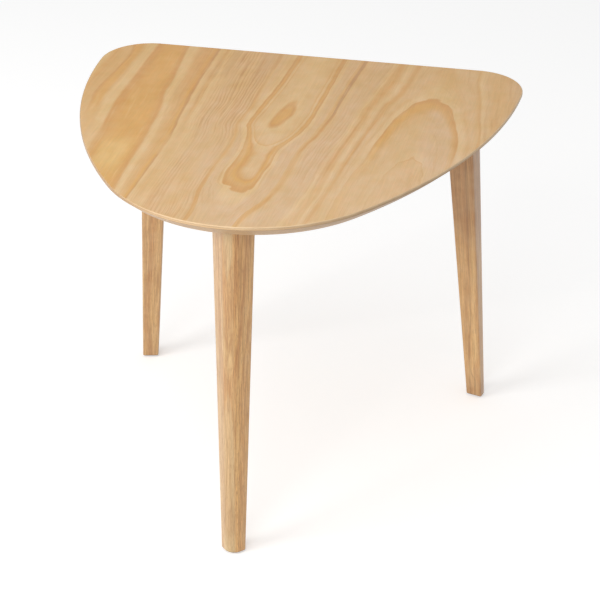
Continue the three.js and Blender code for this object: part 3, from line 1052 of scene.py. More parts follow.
# %% [markdown]
# ## Shared wood effects
# Pine face, plies and legs all show the same thing at different sizes: fine fibres that run out long
# along the grain. Noise becomes fibre when its coordinates are squeezed along the grain and left alone
# across it. The group takes a place whose third coordinate runs along the grain, and puts out fibre and
# pore values for colour and bump.

# %% Fibre group
def make_fibre_group():
    tree, write, given, result = make_group(
        "wood_fibre",
        [("Place", "Vector", None), ("Fibre width mm", "Float", 0.5), ("Pore share", "Float", 0.3)],
        [("Fibre", "Float"), ("Pore", "Float"), ("Cloud", "Float")]
    )
    per_metre = write.over(1000.0, given["Fibre width mm"])
    squeezed = write.vector("MULTIPLY", {0: given["Place"], 1: write.join(1.0, 1.0, 0.022)})
    fibre_place = write.vector("SCALE", {0: squeezed, "Scale": per_metre})
    strands = write.noise(fibre_place, detail=3.0, roughness=0.62)
    write.feed(result["Fibre"], write.span(strands, 0.28, 0.72))
    pore_place = write.stretch(given["Place"], 1500.0, 1500.0, 70.0)
    edge = write.minus(0.78, write.times(given["Pore share"], 0.3))
    pores = write.noise(pore_place, detail=1.0, roughness=0.4)
    write.feed(result["Pore"], write.span(pores, edge, write.plus(edge, 0.08), smooth=True))
    write.feed(result["Cloud"], write.drift(given["Place"], (14.0, 14.0, 5.0), 0.3, 0.7, roughness=0.55))
    lay_out(tree)
    return tree


fibre_group = make_fibre_group()
print("group:", fibre_group.name)

# %% [markdown]
# Worn edges are shared too. Handling rubs an arris paler and smoother, in patches and not evenly, so the
# stored arris mark is broken up by noise before any material uses it. On the panel the same pale mark is
# also a painted highlight along the arris.

# %% Edge wear and highlight group
def make_wear_and_highlight_group():
    inputs = [("Place", "Vector", None), ("Arris", "Float", 0.0), ("Patchiness", "Float", 0.5)]
    tree, write, given, result = make_group("edge_wear_and_highlight", inputs, [("Wear and highlight", "Float")])
    patches = write.span(write.noise(given["Place"], 46.0, detail=3.0), 0.35, 0.65)
    keep = write.minus(1.0, write.times(given["Patchiness"], patches))
    write.feed(result["Wear and highlight"], write.math("MULTIPLY", given["Arris"], keep, clamp=True))
    lay_out(tree)
    return tree


def grouped(write, tree, **inputs):
    """Places a node group and feeds it by name, with underscores standing for the spaces in socket
    names."""
    node = write.add("ShaderNodeGroup", node_tree=tree)
    for name, value in inputs.items():
        write.feed(node.inputs[name.replace("_", " ")], value)
    return node.outputs


def arris_wear_and_highlight(write, place, patchiness):
    """How strong the arris mark is at the place, from 0 to 1: wear, and on the panel also a painted
    highlight.
    """
    arris = write.stored("arris")
    return grouped(write, wear_and_highlight_group, Place=place, Arris=arris, Patchiness=patchiness)["Wear and highlight"]


wear_and_highlight_group = make_wear_and_highlight_group()
print("group:", wear_and_highlight_group.name)

# %% [markdown]
# ## Pine figure
# The face veneer is cut from a pine log, so its picture is growth rings met at a slant: nearly straight
# lines along the grain, and closed loops and arches where the cut passed close under the pith. All its
# tones lie close together, so ten named colours are enough for every line in it.

# %% Palette
LIGHT = linear(220, 189, 146)
PALE = linear(215, 181, 138)
ROSE = linear(213, 180, 143)
SAND = linear(214, 176, 127)
TAN = linear(211, 167, 110)
HONEY = linear(213, 165, 92)
AMBER = linear(205, 154, 91)
UMBER = linear(194, 145, 92)
PLUM = linear(187, 145, 104)
GOLD = linear(226, 194, 136)
print("colours:", len({LIGHT, PALE, ROSE, SAND, TAN, HONEY, AMBER, UMBER, PLUM, GOLD}))

# %% [markdown]
# Each main line is drawn as a guide: a curve that says how far aside the line runs at each place along the
# grain. Between two guides the level rises evenly, as on a map, so every other ring bends along with the
# drawn ones. A guide goes by its level, and its points are places along the grain with how far aside the
# line is there, all in millimetres.

# %% Guide lines
GUIDE_REACH = 330
FIGURE_END = 268
LEFT_GUIDES = {
    -265: [
        (-268, -232), (-60, -248), (0, -257), (20, -260), (60, -265), (80, -268), (160, -266), (200, -264),
        (268, -272)
    ],
    -231: [
        (-268, -200), (-140, -212), (-20, -222), (20, -226), (60, -230), (100, -231), (180, -232),
        (268, -235)
    ],
    -178: [
        (-268, -141), (-120, -151), (-60, -153), (20, -160), (60, -165), (100, -173), (140, -175),
        (180, -180), (268, -188)
    ],
    -138: [
        (-268, -125), (-60, -125), (-20, -127), (20, -131), (60, -134.5), (120, -138), (200, -141),
        (268, -143)
    ],
    -47: [
        (-268, -39), (-240, -38), (-220, -39.5), (-180, -44), (-140, -45), (-60, -42), (-20, -43),
        (0, -46.5), (20, -49), (40, -48), (80, -44.5), (100, -46), (140, -49), (268, -50),
    ],
}
RIGHT_GUIDES = {
    64: [
        (-268, 21), (-240, 25), (-225, 28), (-200, 37), (-180, 42), (-140, 48), (-60, 49), (-40, 50),
        (-20, 53), (0, 58), (40, 62), (60, 64), (140, 65), (200, 67), (240, 70), (268, 71),
    ],
    105: [
        (-268, 84), (-200, 89), (-160, 94), (-80, 95), (-20, 99), (60, 105), (100, 107), (140, 114),
        (200, 121), (268, 125)
    ],
    126: [
        (-268, 98), (-160, 108), (-80, 112), (20, 119), (60, 124), (120, 130), (140, 136), (180, 143),
        (268, 149)
    ],
    256: [(-268, 262), (0, 268), (60, 262), (100, 256), (160, 249), (190, 244), (220, 238), (268, 235)],
}
print("guides:", len(LEFT_GUIDES), "at the left and", len(RIGHT_GUIDES), "at the right")

# %% [markdown]
# Two figures close inside the sheet: a long loop down the middle and an arch at the right. Each is drawn
# as two limbs with an axis between them, and a row of depths says how far the pith lies from the sheet at
# each place. The drawn ring closes where that depth has grown to the ring's own size.

# %% Loop and arch
LOOP_LEFT = [
    (-268, -4), (-172, -5), (-165, -8), (-161, -15), (-157, -21), (-148, -24), (-135, -26), (-120, -27),
    (-100, -25), (-75, -23), (-60, -23.5), (-40, -26), (-20, -28.5), (0, -32.5), (10, -35), (20, -37),
    (60, -35.5), (100, -33), (140, -30), (200, -28), (268, -27),
]
LOOP_AXIS = [
    (-268, 2), (-172, 2), (-155, 4), (-140, 5), (-100, 4.5), (-60, 4), (-37, 1), (0, -1), (20, -4),
    (40, -3.5), (60, 1.5), (100, 4.5), (268, 8)
]
LOOP_RIGHT = [
    (-268, 7), (-172, 7), (-167, 12), (-160, 15.5), (-140, 17), (-120, 17.7), (-100, 19.5), (-80, 20.4),
    (-60, 20), (-50, 20.5), (-40, 22), (-20, 28), (0, 34.5), (20, 38.3), (40, 40.5), (80, 42), (200, 42),
    (268, 43),
]
LOOP_DEPTHS = [
    (-268, 58), (-200, 49), (-178, 46), (-172, 45.1), (-163, 44.2), (-152, 43), (-144, 41.7), (-139, 40.8),
    (-130, 40), (-112, 39.5), (-95, 39.8), (-80, 39.6), (-68, 40.1), (-55, 39.4), (-45, 38.8),
    (-39, 38.4), (-36.5, 37.3), (-32, 35.9), (-28, 34.8), (-20, 32.6), (-8, 30), (6, 28.2), (18, 26),
    (22, 25.6), (30, 24.9), (40, 24.6), (60, 24), (80, 24.8), (100, 26), (120, 27), (200, 28), (268, 28.5),
]
LOOP_RING = 45
ARCH_LEFT = [
    (-268, 120), (-100, 127), (-60, 134), (0, 137), (20, 139.5), (40, 142), (60, 145), (80, 148.5),
    (100, 153.5), (120, 160), (135, 165), (143, 171), (149, 177), (152, 183), (268, 184),
]
ARCH_AXIS = [(-268, 192), (60, 191), (150, 186), (268, 186)]
ARCH_RIGHT = [
    (-268, 242), (0, 241), (20, 239.5), (40, 236.5), (60, 232), (80, 227), (100, 221), (115, 217),
    (130, 213), (138, 207), (143, 199), (149, 192), (152, 189), (268, 188)
]
ARCH_DEPTHS = [
    (-268, 18), (-160, 24), (-100, 29), (-60, 34.5), (-46, 38), (-40, 39.4), (-30, 40.6), (0, 44.5),
    (20, 47.5), (60, 53), (98, 59), (112, 62.3), (125, 65.3), (138, 67.8), (152, 70), (180, 78), (268, 92)
]
ARCH_RING = 70
print("drawn rings:", LOOP_RING, "mm in the loop and", ARCH_RING, "mm in the arch")

# %% [markdown]
# What grows between the guides is a row of bands, each with a soft side and a sharp side, as early wood
# swells slowly into late wood and then stops short. Colour ramps hold these bands, in levels of the field
# for the long lines and in ring distance for the loop and the arch. All of them share one small palette.
# No band keeps its strength from end to end, so a few washes pale, warm or widen one over a stretch. Each
# names a colour, a strength, and four levels and four places along the grain: where it starts, is full,
# begins to fade and ends.

# %% Bands
LEFT_BANDS = [
    (-330, LIGHT), (-296, LIGHT), (-286, TAN), (-275, SAND), (-267, SAND), (-265, AMBER), (-261, HONEY),
    (-254, HONEY), (-249.5, SAND), (-246, LIGHT), (-235, LIGHT), (-231, AMBER), (-214, HONEY),
    (-190, HONEY), (-181, AMBER), (-178, LIGHT), (-170, LIGHT), (-163, SAND), (-150, TAN), (-144, HONEY),
    (-138.5, UMBER), (-136.5, LIGHT), (-131, PALE), (-126, TAN), (-121, LIGHT), (-106, PALE), (-98, ROSE),
    (-79, PALE), (-60, ROSE), (-52, PALE), (-49, TAN), (-45, PALE),
]
RIGHT_BANDS = [
    (-45, PALE), (54, PALE), (60, SAND), (63.5, AMBER), (65, AMBER), (67.5, PALE), (75, ROSE), (92, ROSE),
    (97, LIGHT), (101, SAND), (104.5, AMBER), (106, TAN), (110, SAND), (115, LIGHT), (120, PALE),
    (124, TAN), (126.5, AMBER), (128.5, PALE), (248, PALE), (253, SAND), (256, TAN), (258.5, LIGHT),
    (266, PALE), (273, SAND), (284, SAND), (300, ROSE), (330, ROSE),
]
LOOP_BANDS = [
    (22, HONEY), (24.8, HONEY), (25.6, AMBER), (26.2, TAN), (27, LIGHT), (36, PALE), (37.4, SAND),
    (38.1, TAN), (38.6, LIGHT), (40.2, PALE), (41.0, TAN), (41.5, AMBER), (42.3, HONEY), (43.6, TAN),
    (44.6, AMBER), (45.4, AMBER), (46.1, LIGHT), (48, LIGHT), (52, ROSE), (60, ROSE),
]
ARCH_LEFT_BANDS = [
    (36, SAND), (38.6, SAND), (39.2, AMBER), (39.9, LIGHT), (44, PALE), (56, PALE), (59.5, SAND), (62, TAN),
    (65, HONEY), (68, HONEY), (69.6, AMBER), (70.3, AMBER), (71.6, LIGHT), (79, LIGHT), (88, SAND),
    (95, PALE),
]
ARCH_RIGHT_BANDS = [
    (36, SAND), (38.6, SAND), (39.2, AMBER), (39.9, LIGHT), (44, ROSE), (62, ROSE), (66, TAN),
    (69.2, AMBER), (70.2, AMBER), (71.6, LIGHT), (79, LIGHT), (88, SAND), (95, PALE),
]
WASHES = [
    (PALE, 0.75, (-340, -335, -252, -242), (-300, -290, 0, 70)),
    (SAND, 0.60, (-250, -246, -230, -224), (-300, -290, -55, -5)),
    (GOLD, 0.62, (-228, -214, -198, -182), (-175, -125, -85, -40)),
    (AMBER, 0.45, (-168, -160, -142, -140), (100, 150, 300, 310)),
    (SAND, 0.60, (-150, -144, -137.5, -135), (-102, -85, -45, -28)),
    (PALE, 0.85, (-132, -129, -122, -118), (-300, -290, -30, 70)),
    (SAND, 0.50, (-136, -126, -62, -53), (-300, -290, -155, -125)),
    (PLUM, 0.34, (-131, -128, -123, -120), (140, 165, 215, 240)),
    (PLUM, 0.34, (-118, -113, -106, -102), (155, 180, 300, 310)),
    (PLUM, 0.28, (-78, -71, -50, -46), (130, 215, 300, 310)),
    (AMBER, 0.70, (-53, -50.5, -46.5, -45), (-300, -290, -160, -110)),
    (TAN, 0.80, (49, 56, 65.5, 68), (-300, -290, -205, -175)),
    (SAND, 0.60, (56, 60, 66.5, 69), (-188, -165, -75, -40)),
    (PALE, 0.55, (98, 102, 107, 110), (-300, -290, -160, -40)),
    (PALE, 0.55, (121, 124, 128, 130), (-300, -290, -160, -40)),
    (TAN, 0.60, (97, 101, 106, 109), (30, 110, 300, 310)),
    (TAN, 0.65, (119, 124, 131, 139), (30, 110, 300, 310)),
]
print("long bands:", len(LEFT_BANDS), len(RIGHT_BANDS), "washes:", len(WASHES))

# %% [markdown]
# The guides become nodes here. A curve node holds each guide, and the level climbs from one guide to the
# next as the point moves aside. A closed figure adds a second number, the depth under the cut: level and
# depth together give a ring distance, just as the two short sides of a triangle give the long one.

# %% Level and ring distance
DEPTH_SCALE = 100


def guide(write, along, points):
    """How far aside a guide runs at each place along the grain, in metres: a curve of 0 to 1, stretched
    back out."""
    whole = 2 * GUIDE_REACH
    shares = [(place * MM, (aside + GUIDE_REACH) / whole) for place, aside in points]
    share = write.curve(along, -FIGURE_END * MM, FIGURE_END * MM, shares)
    return write.math("MULTIPLY_ADD", share, whole * MM, -GUIDE_REACH * MM)


def between_guides(write, x, steps):
    """Level = first level + for each pair of guides, the rise in level times how far x has come from one to
    the next."""
    total = steps[0][1]
    for (start, low), (end, high) in zip(steps[:-1], steps[1:]):
        plain = isinstance(low, float) and isinstance(high, float)
        rise = high - low if plain else write.minus(high, low)
        total = write.plus(total, write.span(x, start, end, 0.0, rise))
    return total


def ring_field(write, x, along, guides, ring, depths):
    """Ring distance = root of (level squared + depth squared). On the two drawn limbs it equals the ring
    itself."""
    before, left, axis, right, after = guides
    shares = [(place * MM, depth / DEPTH_SCALE) for place, depth in depths]
    depth = write.times(write.curve(along, -FIGURE_END * MM, FIGURE_END * MM, shares), DEPTH_SCALE * MM)
    depth_squared = write.times(depth, depth)
    limb = write.math("SQRT", write.math("MAXIMUM", write.minus((ring * MM) ** 2, depth_squared), 0.0))
    limbs = ((left, write.times(limb, -1.0)), (axis, 0.0), (right, limb))
    steps = [before, *((guide(write, along, points), level) for points, level in limbs), after]
    level = between_guides(write, x, steps)
    return level, write.math("SQRT", write.plus(write.times(level, level), depth_squared))


print("guides bend between", -FIGURE_END, "and", FIGURE_END, "mm along the grain")

# %% [markdown]
# The next functions turn levels into colour. Each answers one question about a point: which band it is in,
# whether a wash reaches it, and whether one of the fine lines or narrow years runs through it.

# %% Bands, lines and years
YEAR_SPACING = 4.4 * MM
SPLIT_LEVEL = -45


def banded(write, value, bands):
    """The colour that a row of bands, with places in millimetres, has at the value."""
    stops = [(place * MM, colour) for place, colour in bands]
    return write.ramp(value, stops[0][0], stops[-1][0], stops)


def within(write, value, low, high):
    """1 between two levels and 0 outside them."""
    above = write.math("GREATER_THAN", value, low * MM)
    return write.times(above, write.math("LESS_THAN", value, high * MM))


def plateau(write, value, start, full, fade, end):
    """0 before the start and past the end, 1 between full and fade, and a smooth slope at each side."""
    rise = write.span_mm(value, start, full, smooth=True)
    return write.times(rise, write.span_mm(value, end, fade, smooth=True))


def fine_lines(write, rings, along, spacing, length, seed, low, high):
    """Noise drawn out along the rings, so that it breaks into fine lines of that spacing and length."""
    place = write.join(write.over(rings, spacing * MM), write.over(along, length * MM), seed)
    return write.span(write.noise(place, roughness=0.6), low, high, smooth=True)


def tight_years(write, flat, level):
    """Narrow years: a saw wave along the level, bent by noise and kept to the strips where the picture is
    lined."""
    bend = write.sway(flat, (36.0, 5.0, 1.0), 1.7)
    turn = write.math("FRACT", write.plus(write.over(level, YEAR_SPACING), bend))
    line = write.times(write.span(turn, 0.35, 0.88, smooth=True), write.span(turn, 1.0, 0.90))
    left_strip = write.times(write.span_mm(level, -125, -95), write.span_mm(level, -47, -51))
    right_strip = write.times(write.span_mm(level, 66, 74), write.span_mm(level, 104, 96))
    near_front = write.span_mm(write.split(flat)["Y"], -160, -30, 0.12, 0.45, smooth=True)
    strips = write.plus(left_strip, write.times(right_strip, near_front))
    here = write.drift(flat, (20.0, 5.0, 1.0), 0.36, 0.62, 0.1, 1.0, smooth=True)
    return write.times(line, write.times(strips, here))


def long_lines(write, level, along):
    """The two ramps of bands, one to each side of the split, with every wash laid over them."""
    past_split = write.math("GREATER_THAN", level, SPLIT_LEVEL * MM)
    lines = write.blend(past_split, banded(write, level, LEFT_BANDS), banded(write, level, RIGHT_BANDS))
    for wash, strength, levels, places in WASHES:
        there = write.times(plateau(write, level, *levels), plateau(write, along, *places))
        lines = write.cover(lines, wash, there, strength)
    return lines


def arch_bands(write, flat, arch, arch_level, to_front):
    """The arch's own bands, with a bumpy inner line and less contrast toward the front. Also returns the
    bumpy ring distance."""
    bumpy = write.span_mm(arch, 50, 42, smooth=True)
    arch = write.math("MULTIPLY_ADD", write.sway(flat, (75.0, 45.0, 1.0), 3 * MM), bumpy, arch)
    side = write.span_mm(arch_level, -14, 14, smooth=True)
    bands = write.blend(side, banded(write, arch, ARCH_LEFT_BANDS), banded(write, arch, ARCH_RIGHT_BANDS))
    return arch, write.cover(bands, PALE, write.span_mm(to_front, 30, -110, smooth=True), 0.7)


print("narrow years are", YEAR_SPACING / MM, "mm of level apart")

# %% [markdown]
# One group puts all of this together. Noise first sways the place a little, so that no line looks ruled.
# The level picks a colour for the long lines, and the two ring distances pick theirs inside the loop and
# the arch. Over that come fine lines that follow the rings, a strip of narrow years, mottling, and last a
# slow change over the whole sheet. That change is painted light, brighter toward the front and darker
# toward the back, together with a tone that turns more golden toward the back.

# %% Pine figure group
ARCH_END_LEVEL = 95 * MM
MOTTLES = [
    (14.0, 9.0, (0.965, 0.945, 0.86, 1.0), (1.02, 1.02, 1.07, 1.0)),
    (42.0, 30.0, (0.965, 0.94, 0.86, 1.0), (1.02, 1.03, 1.10, 1.0)),
    (110.0, 75.0, (1.014, 0.982, 0.965, 1.0), (0.986, 1.012, 1.01, 1.0)),
]
# Painted light: the sheet is painted brighter toward the front and darker toward the back, where it also
# turns more golden.
FRONT_TONE_AND_LIGHT, BACK_TONE_AND_SHADE = (1.085, 1.055, 1.035, 1.0), (0.98, 0.868, 0.645, 1.0)
TONE_AT_LEFT, TONE_AT_RIGHT = (0.985, 0.985, 0.90, 1.0), (0.985, 1.02, 1.08, 1.0)


def make_pine_group():
    inputs, outputs = [("Place", "Vector", None)], [("Color", "Color")]
    tree, write, given, result = make_group("pine_figure", inputs, outputs)
    true_x, true_y = write.split(given["Place"])[:2]
    flat = write.join(true_x, true_y, 0.0)
    slow_sway = write.sway(flat, (22.0, 9.0, 1.0), 2.2 * MM)
    quick_sway = write.sway(flat, (120.0, 34.0, 1.0), 1.3 * MM)
    x = write.plus(true_x, write.plus(slow_sway, quick_sway))
    y = write.plus(true_y, write.sway(flat, (60.0, 12.0, 1.0), 7 * MM))

    left = [(guide(write, y, points), level * MM) for level, points in LEFT_GUIDES.items()]
    right = [(guide(write, y, points), level * MM) for level, points in RIGHT_GUIDES.items()]
    edge = GUIDE_REACH * MM
    level = between_guides(write, x, [(-edge, -edge), *left, *right, (edge, edge)])
    loop_guides = (left[-1], LOOP_LEFT, LOOP_AXIS, LOOP_RIGHT, right[0])
    loop = ring_field(write, x, y, loop_guides, LOOP_RING, LOOP_DEPTHS)[1]
    before_arch, after_arch = (right[2][0], -ARCH_END_LEVEL), (right[3][0], ARCH_END_LEVEL)
    arch_guides = (before_arch, ARCH_LEFT, ARCH_AXIS, ARCH_RIGHT, after_arch)
    arch_level, arch = ring_field(write, x, y, arch_guides, ARCH_RING, ARCH_DEPTHS)

    in_loop = within(write, level, -44, 58)
    colour = write.blend(in_loop, long_lines(write, level, y), banded(write, loop, LOOP_BANDS))
    dark_thread = write.times(within(write, level, 62.4, 66.2), write.span_mm(true_y, 20, 90, smooth=True))
    colour = write.cover(colour, PLUM, dark_thread, 0.85)
    arch, arch_colour = arch_bands(write, flat, arch, arch_level, true_y)
    in_arch = write.times(write.span_mm(level, 129, 133), write.span_mm(level, 251, 246))
    colour = write.blend(in_arch, colour, arch_colour)

    rings = level
    for share, ring in ((in_loop, loop), (in_arch, arch)):
        rings = write.add("ShaderNodeMix", {0: share, 2: rings, 3: ring}, data_type="FLOAT").outputs[0]
    many = write.drift(flat, (13.0, 4.0, 1.0), 0.40, 0.60, 0.25, 1.0, smooth=True)
    strong = write.span_mm(write.size(write.plus(level, 80 * MM)), 30, 60, 1.0, 0.45, smooth=True)
    strong = write.times(strong, write.span_mm(level, -185, -165, 0.3, 1.0))
    dark_lines = fine_lines(write, rings, y, 4.6, 150, 0.0, 0.50, 0.70)
    colour = write.cover(colour, UMBER, write.times(dark_lines, write.times(many, strong)), 0.75)
    colour = write.cover(colour, UMBER, tight_years(write, flat, level), 0.75)
    colour = write.cover(colour, LIGHT, fine_lines(write, rings, y, 3.1, 120, 4.0, 0.52, 0.72), 0.35)

    for across, along, dark, pale in MOTTLES:
        patches = write.drift(flat, (across, along, 1.0), 0.33, 0.67, detail=3.0)
        colour = write.tint(colour, write.blend(patches, dark, pale))
    # Painted light from front to back, with the golden tone toward the back.
    to_back = write.span_mm(true_y, -FIGURE_END, FIGURE_END)
    colour = write.tint(colour, write.blend(to_back, FRONT_TONE_AND_LIGHT, BACK_TONE_AND_SHADE))
    to_right = write.span_mm(true_x, -300, 300)
    write.feed(result["Color"], write.tint(colour, write.blend(to_right, TONE_AT_LEFT, TONE_AT_RIGHT)))
    lay_out(tree)
    return tree


pine_group = make_pine_group()
print("group:", pine_group.name, "nodes:", len(pine_group.nodes))

# %% [markdown]
# ## Finish of the veneer
# Over the figure come the fibres, a few resin canals and a thin satin lacquer. The lacquer fills most of
# the grain, so the bump is slight and the gloss changes only a little. Object coordinates are metres in
# the room, which is what the figure needs. The underside carries another sheet from the same log. There
# the place is turned half round before the figure reads it.

# %% Pine face material
def make_pine_face():
    material, write, shader = make_material("lacquered_pine_veneer")
    place = write.room_place()
    x, y, z = write.split(place)
    facing = write.math("SIGN", write.span(z, (top_low.z + top_high.z) / 2, top_high.z, -1.0, 1.0))
    sheet_place = write.join(write.times(x, facing), write.times(y, facing), z)
    figure = grouped(write, pine_group, Place=sheet_place)
    fibre = grouped(write, fibre_group, Place=write.join(x, z, y), Fibre_width_mm=0.9, Pore_share=0.25)
    colour = write.tint(figure["Color"], write.onto(fibre["Fibre"], 0.915, 1.05))
    colour = write.cover(colour, linear(176, 128, 84), fibre["Pore"], 0.28)
    # A pale mark along the arris: partly wear, partly a painted highlight.
    colour = write.cover(colour, linear(228, 200, 160), arris_wear_and_highlight(write, place, 0.5), 0.3)
    looks = {
        "Base Color": colour, "Roughness": write.onto(fibre["Cloud"], 0.40, 0.50), "Specular IOR Level": 0.3
    }
    height = write.minus(fibre["Fibre"], write.times(fibre["Pore"], 0.8))
    return complete(material, write, shader, looks, height, 0.25, 0.05 * MM)


pine_face = make_pine_face()
print("material:", pine_face.name)

# %% [markdown]
# ## Plies on the rim
# Plywood is thin sheets glued with their grain turned crosswise in turn, so the rim shows stripes: a
# sheet whose grain runs along the rim looks smooth and pale, and one seen end-on looks darker and open.
# Which is which depends on the height in the panel and on which way the rim faces, and both can be read
# from the surface. Painted light and shade lie over the plies. The front is painted paler beside the nose
# and darker toward the right, and the far left end is painted darker. The arris carries a pale mark that is
# partly wear and partly a painted highlight, and it is faint toward the left.

# %% Rim material
PLY_THICKNESS = 1.45 * MM
FACE_VENEER_THICKNESS = 0.8 * MM


def ply_end_grain(write, sheet):
    """1 where a sheet of that number is seen end-on: every other sheet's grain runs along x, the rest's
    along y."""
    crosswise = write.math("MODULO", write.plus(sheet, 20.0), 2.0)
    normal = write.split(write.add("ShaderNodeNewGeometry").outputs["Normal"])
    along_y = write.times(write.minus(1.0, crosswise), write.size(normal["Y"]))
    along_x = write.times(crosswise, write.size(normal["X"]))
    return write.span(write.plus(along_y, along_x), 0.25, 0.8, smooth=True)


def make_ply_rim():
    material, write, shader = make_material("plywood_rim")
    place = write.room_place()
    x, y, z = write.split(place)
    ripple = write.sway(place, (9.0, 9.0, 0.0), 0.35 * MM)
    depth = write.plus(write.minus(top_high.z - FACE_VENEER_THICKNESS, z), ripple)
    count = write.over(depth, PLY_THICKNESS)
    sheet = write.math("FLOOR", count)
    end_grain = ply_end_grain(write, sheet)
    side_fibre = write.drift(place, (40.0, 40.0, 1600.0), 0.3, 0.7, detail=3.0)
    end_fibre = write.drift(place, (900.0, 900.0, 1300.0), 0.35, 0.65)
    smooth_sheet = write.blend(side_fibre, linear(192, 157, 114), linear(206, 172, 130))
    open_sheet = write.blend(end_fibre, linear(164, 129, 92), linear(190, 155, 117))
    sheet_tone = write.noise(write.join(sheet, 0.5, 0.5), 3.7, detail=0.0)
    # Painted light and shade: the front of the rim is painted paler beside the nose and darker toward the
    # right, and the far left end is painted darker.
    painted_light_beside_nose = write.span_mm(x, 30, 200, 1.20, 0.82)
    painted_light_in_front = write.onto(write.span_mm(y, 0, -80), 1.0, painted_light_beside_nose)
    tone = write.times(write.span(sheet_tone, 0.3, 0.7, 0.93, 1.04), painted_light_in_front)
    tone = write.times(tone, write.span_mm(x, -130, -75, 0.82, 1.0))
    colour = write.tint(write.blend(end_grain, smooth_sheet, open_sheet), tone)
    from_joint = write.size(write.minus(write.minus(count, sheet), 0.5))
    glue = write.span(from_joint, 0.44, 0.49, smooth=True)
    colour = write.cover(colour, linear(140, 104, 72), glue, 0.55)
    # The pale arris mark is partly wear and partly a painted highlight. It is kept faint toward the left
    # end of the rim.
    highlight_and_wear_reach = write.span_mm(x, -150, -25, 0.1, 0.7)
    colour = write.cover(colour, linear(234, 207, 166), arris_wear_and_highlight(write, place, 0.35), highlight_and_wear_reach)
    roughness = write.onto(end_grain, 0.36, 0.48)
    looks = {"Base Color": colour, "Roughness": roughness, "Specular IOR Level": 0.5}
    height = write.minus(write.times(end_fibre, end_grain), write.times(glue, 0.6))
    return complete(material, write, shader, looks, height, 0.3, 0.08 * MM)


ply_rim = make_ply_rim()
for finish in (pine_face, ply_rim):
    panel.data.materials.append(finish)
print("material:", ply_rim.name)

# %% [markdown]
# ## Leg wood
# The legs are a plain, pale, close hardwood: warm tan with slightly darker growth lines a few millimetres
# apart, short fine pores, and now and then a slow flame where a ring grazes the side. Rings are circles
# round a pith that lies well outside the bar, and the stored grain place cuts through them, so sides and
# sawn ends agree.

# %% Rings and flecks
LEG_PITH = (-0.078, 0.006)
LEG_RING_SPACING = 2.9 * MM
RIGHT_LEG_BASE = TREE_PLACES["back_right"][2]
BURL_HEIGHT = RIGHT_LEG_BASE + 45 * MM


def leg_rings(write, x, y, along, grain):
    """The wood's own colour: rings round the pith, each with its late edge, under a slow change from year
    to year."""
    bend_x = write.noise(write.join(0.0, 3.0, write.times(along, 3.4)))
    bend_y = write.noise(write.join(7.0, 0.0, write.times(along, 2.7)))
    from_pith_x = write.plus(write.minus(x, LEG_PITH[0]), write.onto(bend_x, -14 * MM, 14 * MM))
    from_pith_y = write.plus(write.minus(y, LEG_PITH[1]), write.onto(bend_y, -40 * MM, 40 * MM))
    radius = write.vector("LENGTH", {0: write.join(from_pith_x, from_pith_y, 0.0)}, "Value")
    radius = write.plus(radius, write.sway(grain, (60.0, 60.0, 9.0), 1.1 * MM))
    from_burl = write.size(write.minus(along, BURL_HEIGHT))
    radius = write.plus(radius, write.span_mm(from_burl, 34, 0, 0.0, 5 * MM, smooth=True))
    uneven = write.noise(write.join(write.over(radius, 6 * MM), 5.0, 1.0), detail=1.0)
    count = write.plus(write.over(radius, LEG_RING_SPACING), write.onto(uneven, -2.0, 2.0))
    turn = write.math("FRACT", count)
    late = write.times(write.math("POWER", turn, 2.2), write.span(turn, 1.0, 0.9, smooth=True))
    strength = write.noise(write.join(write.math("FLOOR", count), write.times(along, 5.0), 9.0), detail=1.0)
    late = write.times(late, write.span(strength, 0.35, 0.65, 0.25, 1.0))
    year = write.noise(write.join(write.over(radius, 7 * MM), 1.0, 2.0))
    early = write.blend(write.span(year, 0.40, 0.60), linear(227, 183, 122), linear(208, 154, 96))
    return write.cover(early, linear(184, 130, 72), late, 0.7)


def flecked(write, colour, grain, calm):
    """Dark and pale dashes, then dark flecks, each where its noise has passed a start and grown to full."""
    dash = write.noise(write.stretch(grain, 700.0, 700.0, 15.0), roughness=0.6)
    fleck = write.noise(write.stretch(grain, 800.0, 800.0, 150.0), detail=1.0)
    for noise, start, full, most, tone in (
        (dash, 0.50, 0.60, 0.46, linear(168, 114, 62)), (dash, 0.48, 0.38, 0.36, linear(237, 198, 140)),
        (fleck, 0.55, 0.66, 0.34, linear(165, 113, 66))
    ):
        colour = write.cover(colour, tone, write.span(noise, start, full, 0.0, most, smooth=True), calm)
    return colour


print("leg rings are", LEG_RING_SPACING / MM, "mm apart")

# %% [markdown]
# What is special to one leg is drawn as a curve of how wide or how far aside it is at each height: the pale
# strips of the front and right legs, and a dark thread. The place in the tree tells the legs apart, since
# each leg starts from a height of its own there.

# %% What is special to one leg
DRAWN_LENGTH = 480 * MM
FRONT_LEG_BELOW = 0.6
RIGHT_LEG_ABOVE = 2.5
STRIP_SCALE = 10
THREAD_SCALE = 15
CORNER_STRIP = [
    (0, 6.5), (120, 6.5), (195, 6), (232, 2.6), (256, 0), (300, 0), (388, 0), (408, 2.4), (430, 5.5),
    (460, 6.5), (480, 6.5)
]
THREAD_ON_THE_FACE = [
    (0, -6), (14, -7.5), (24, -6.2), (40, -9.5), (62, -11.5), (100, -10.5), (150, -8.5), (300, -8),
    (480, -8),
]


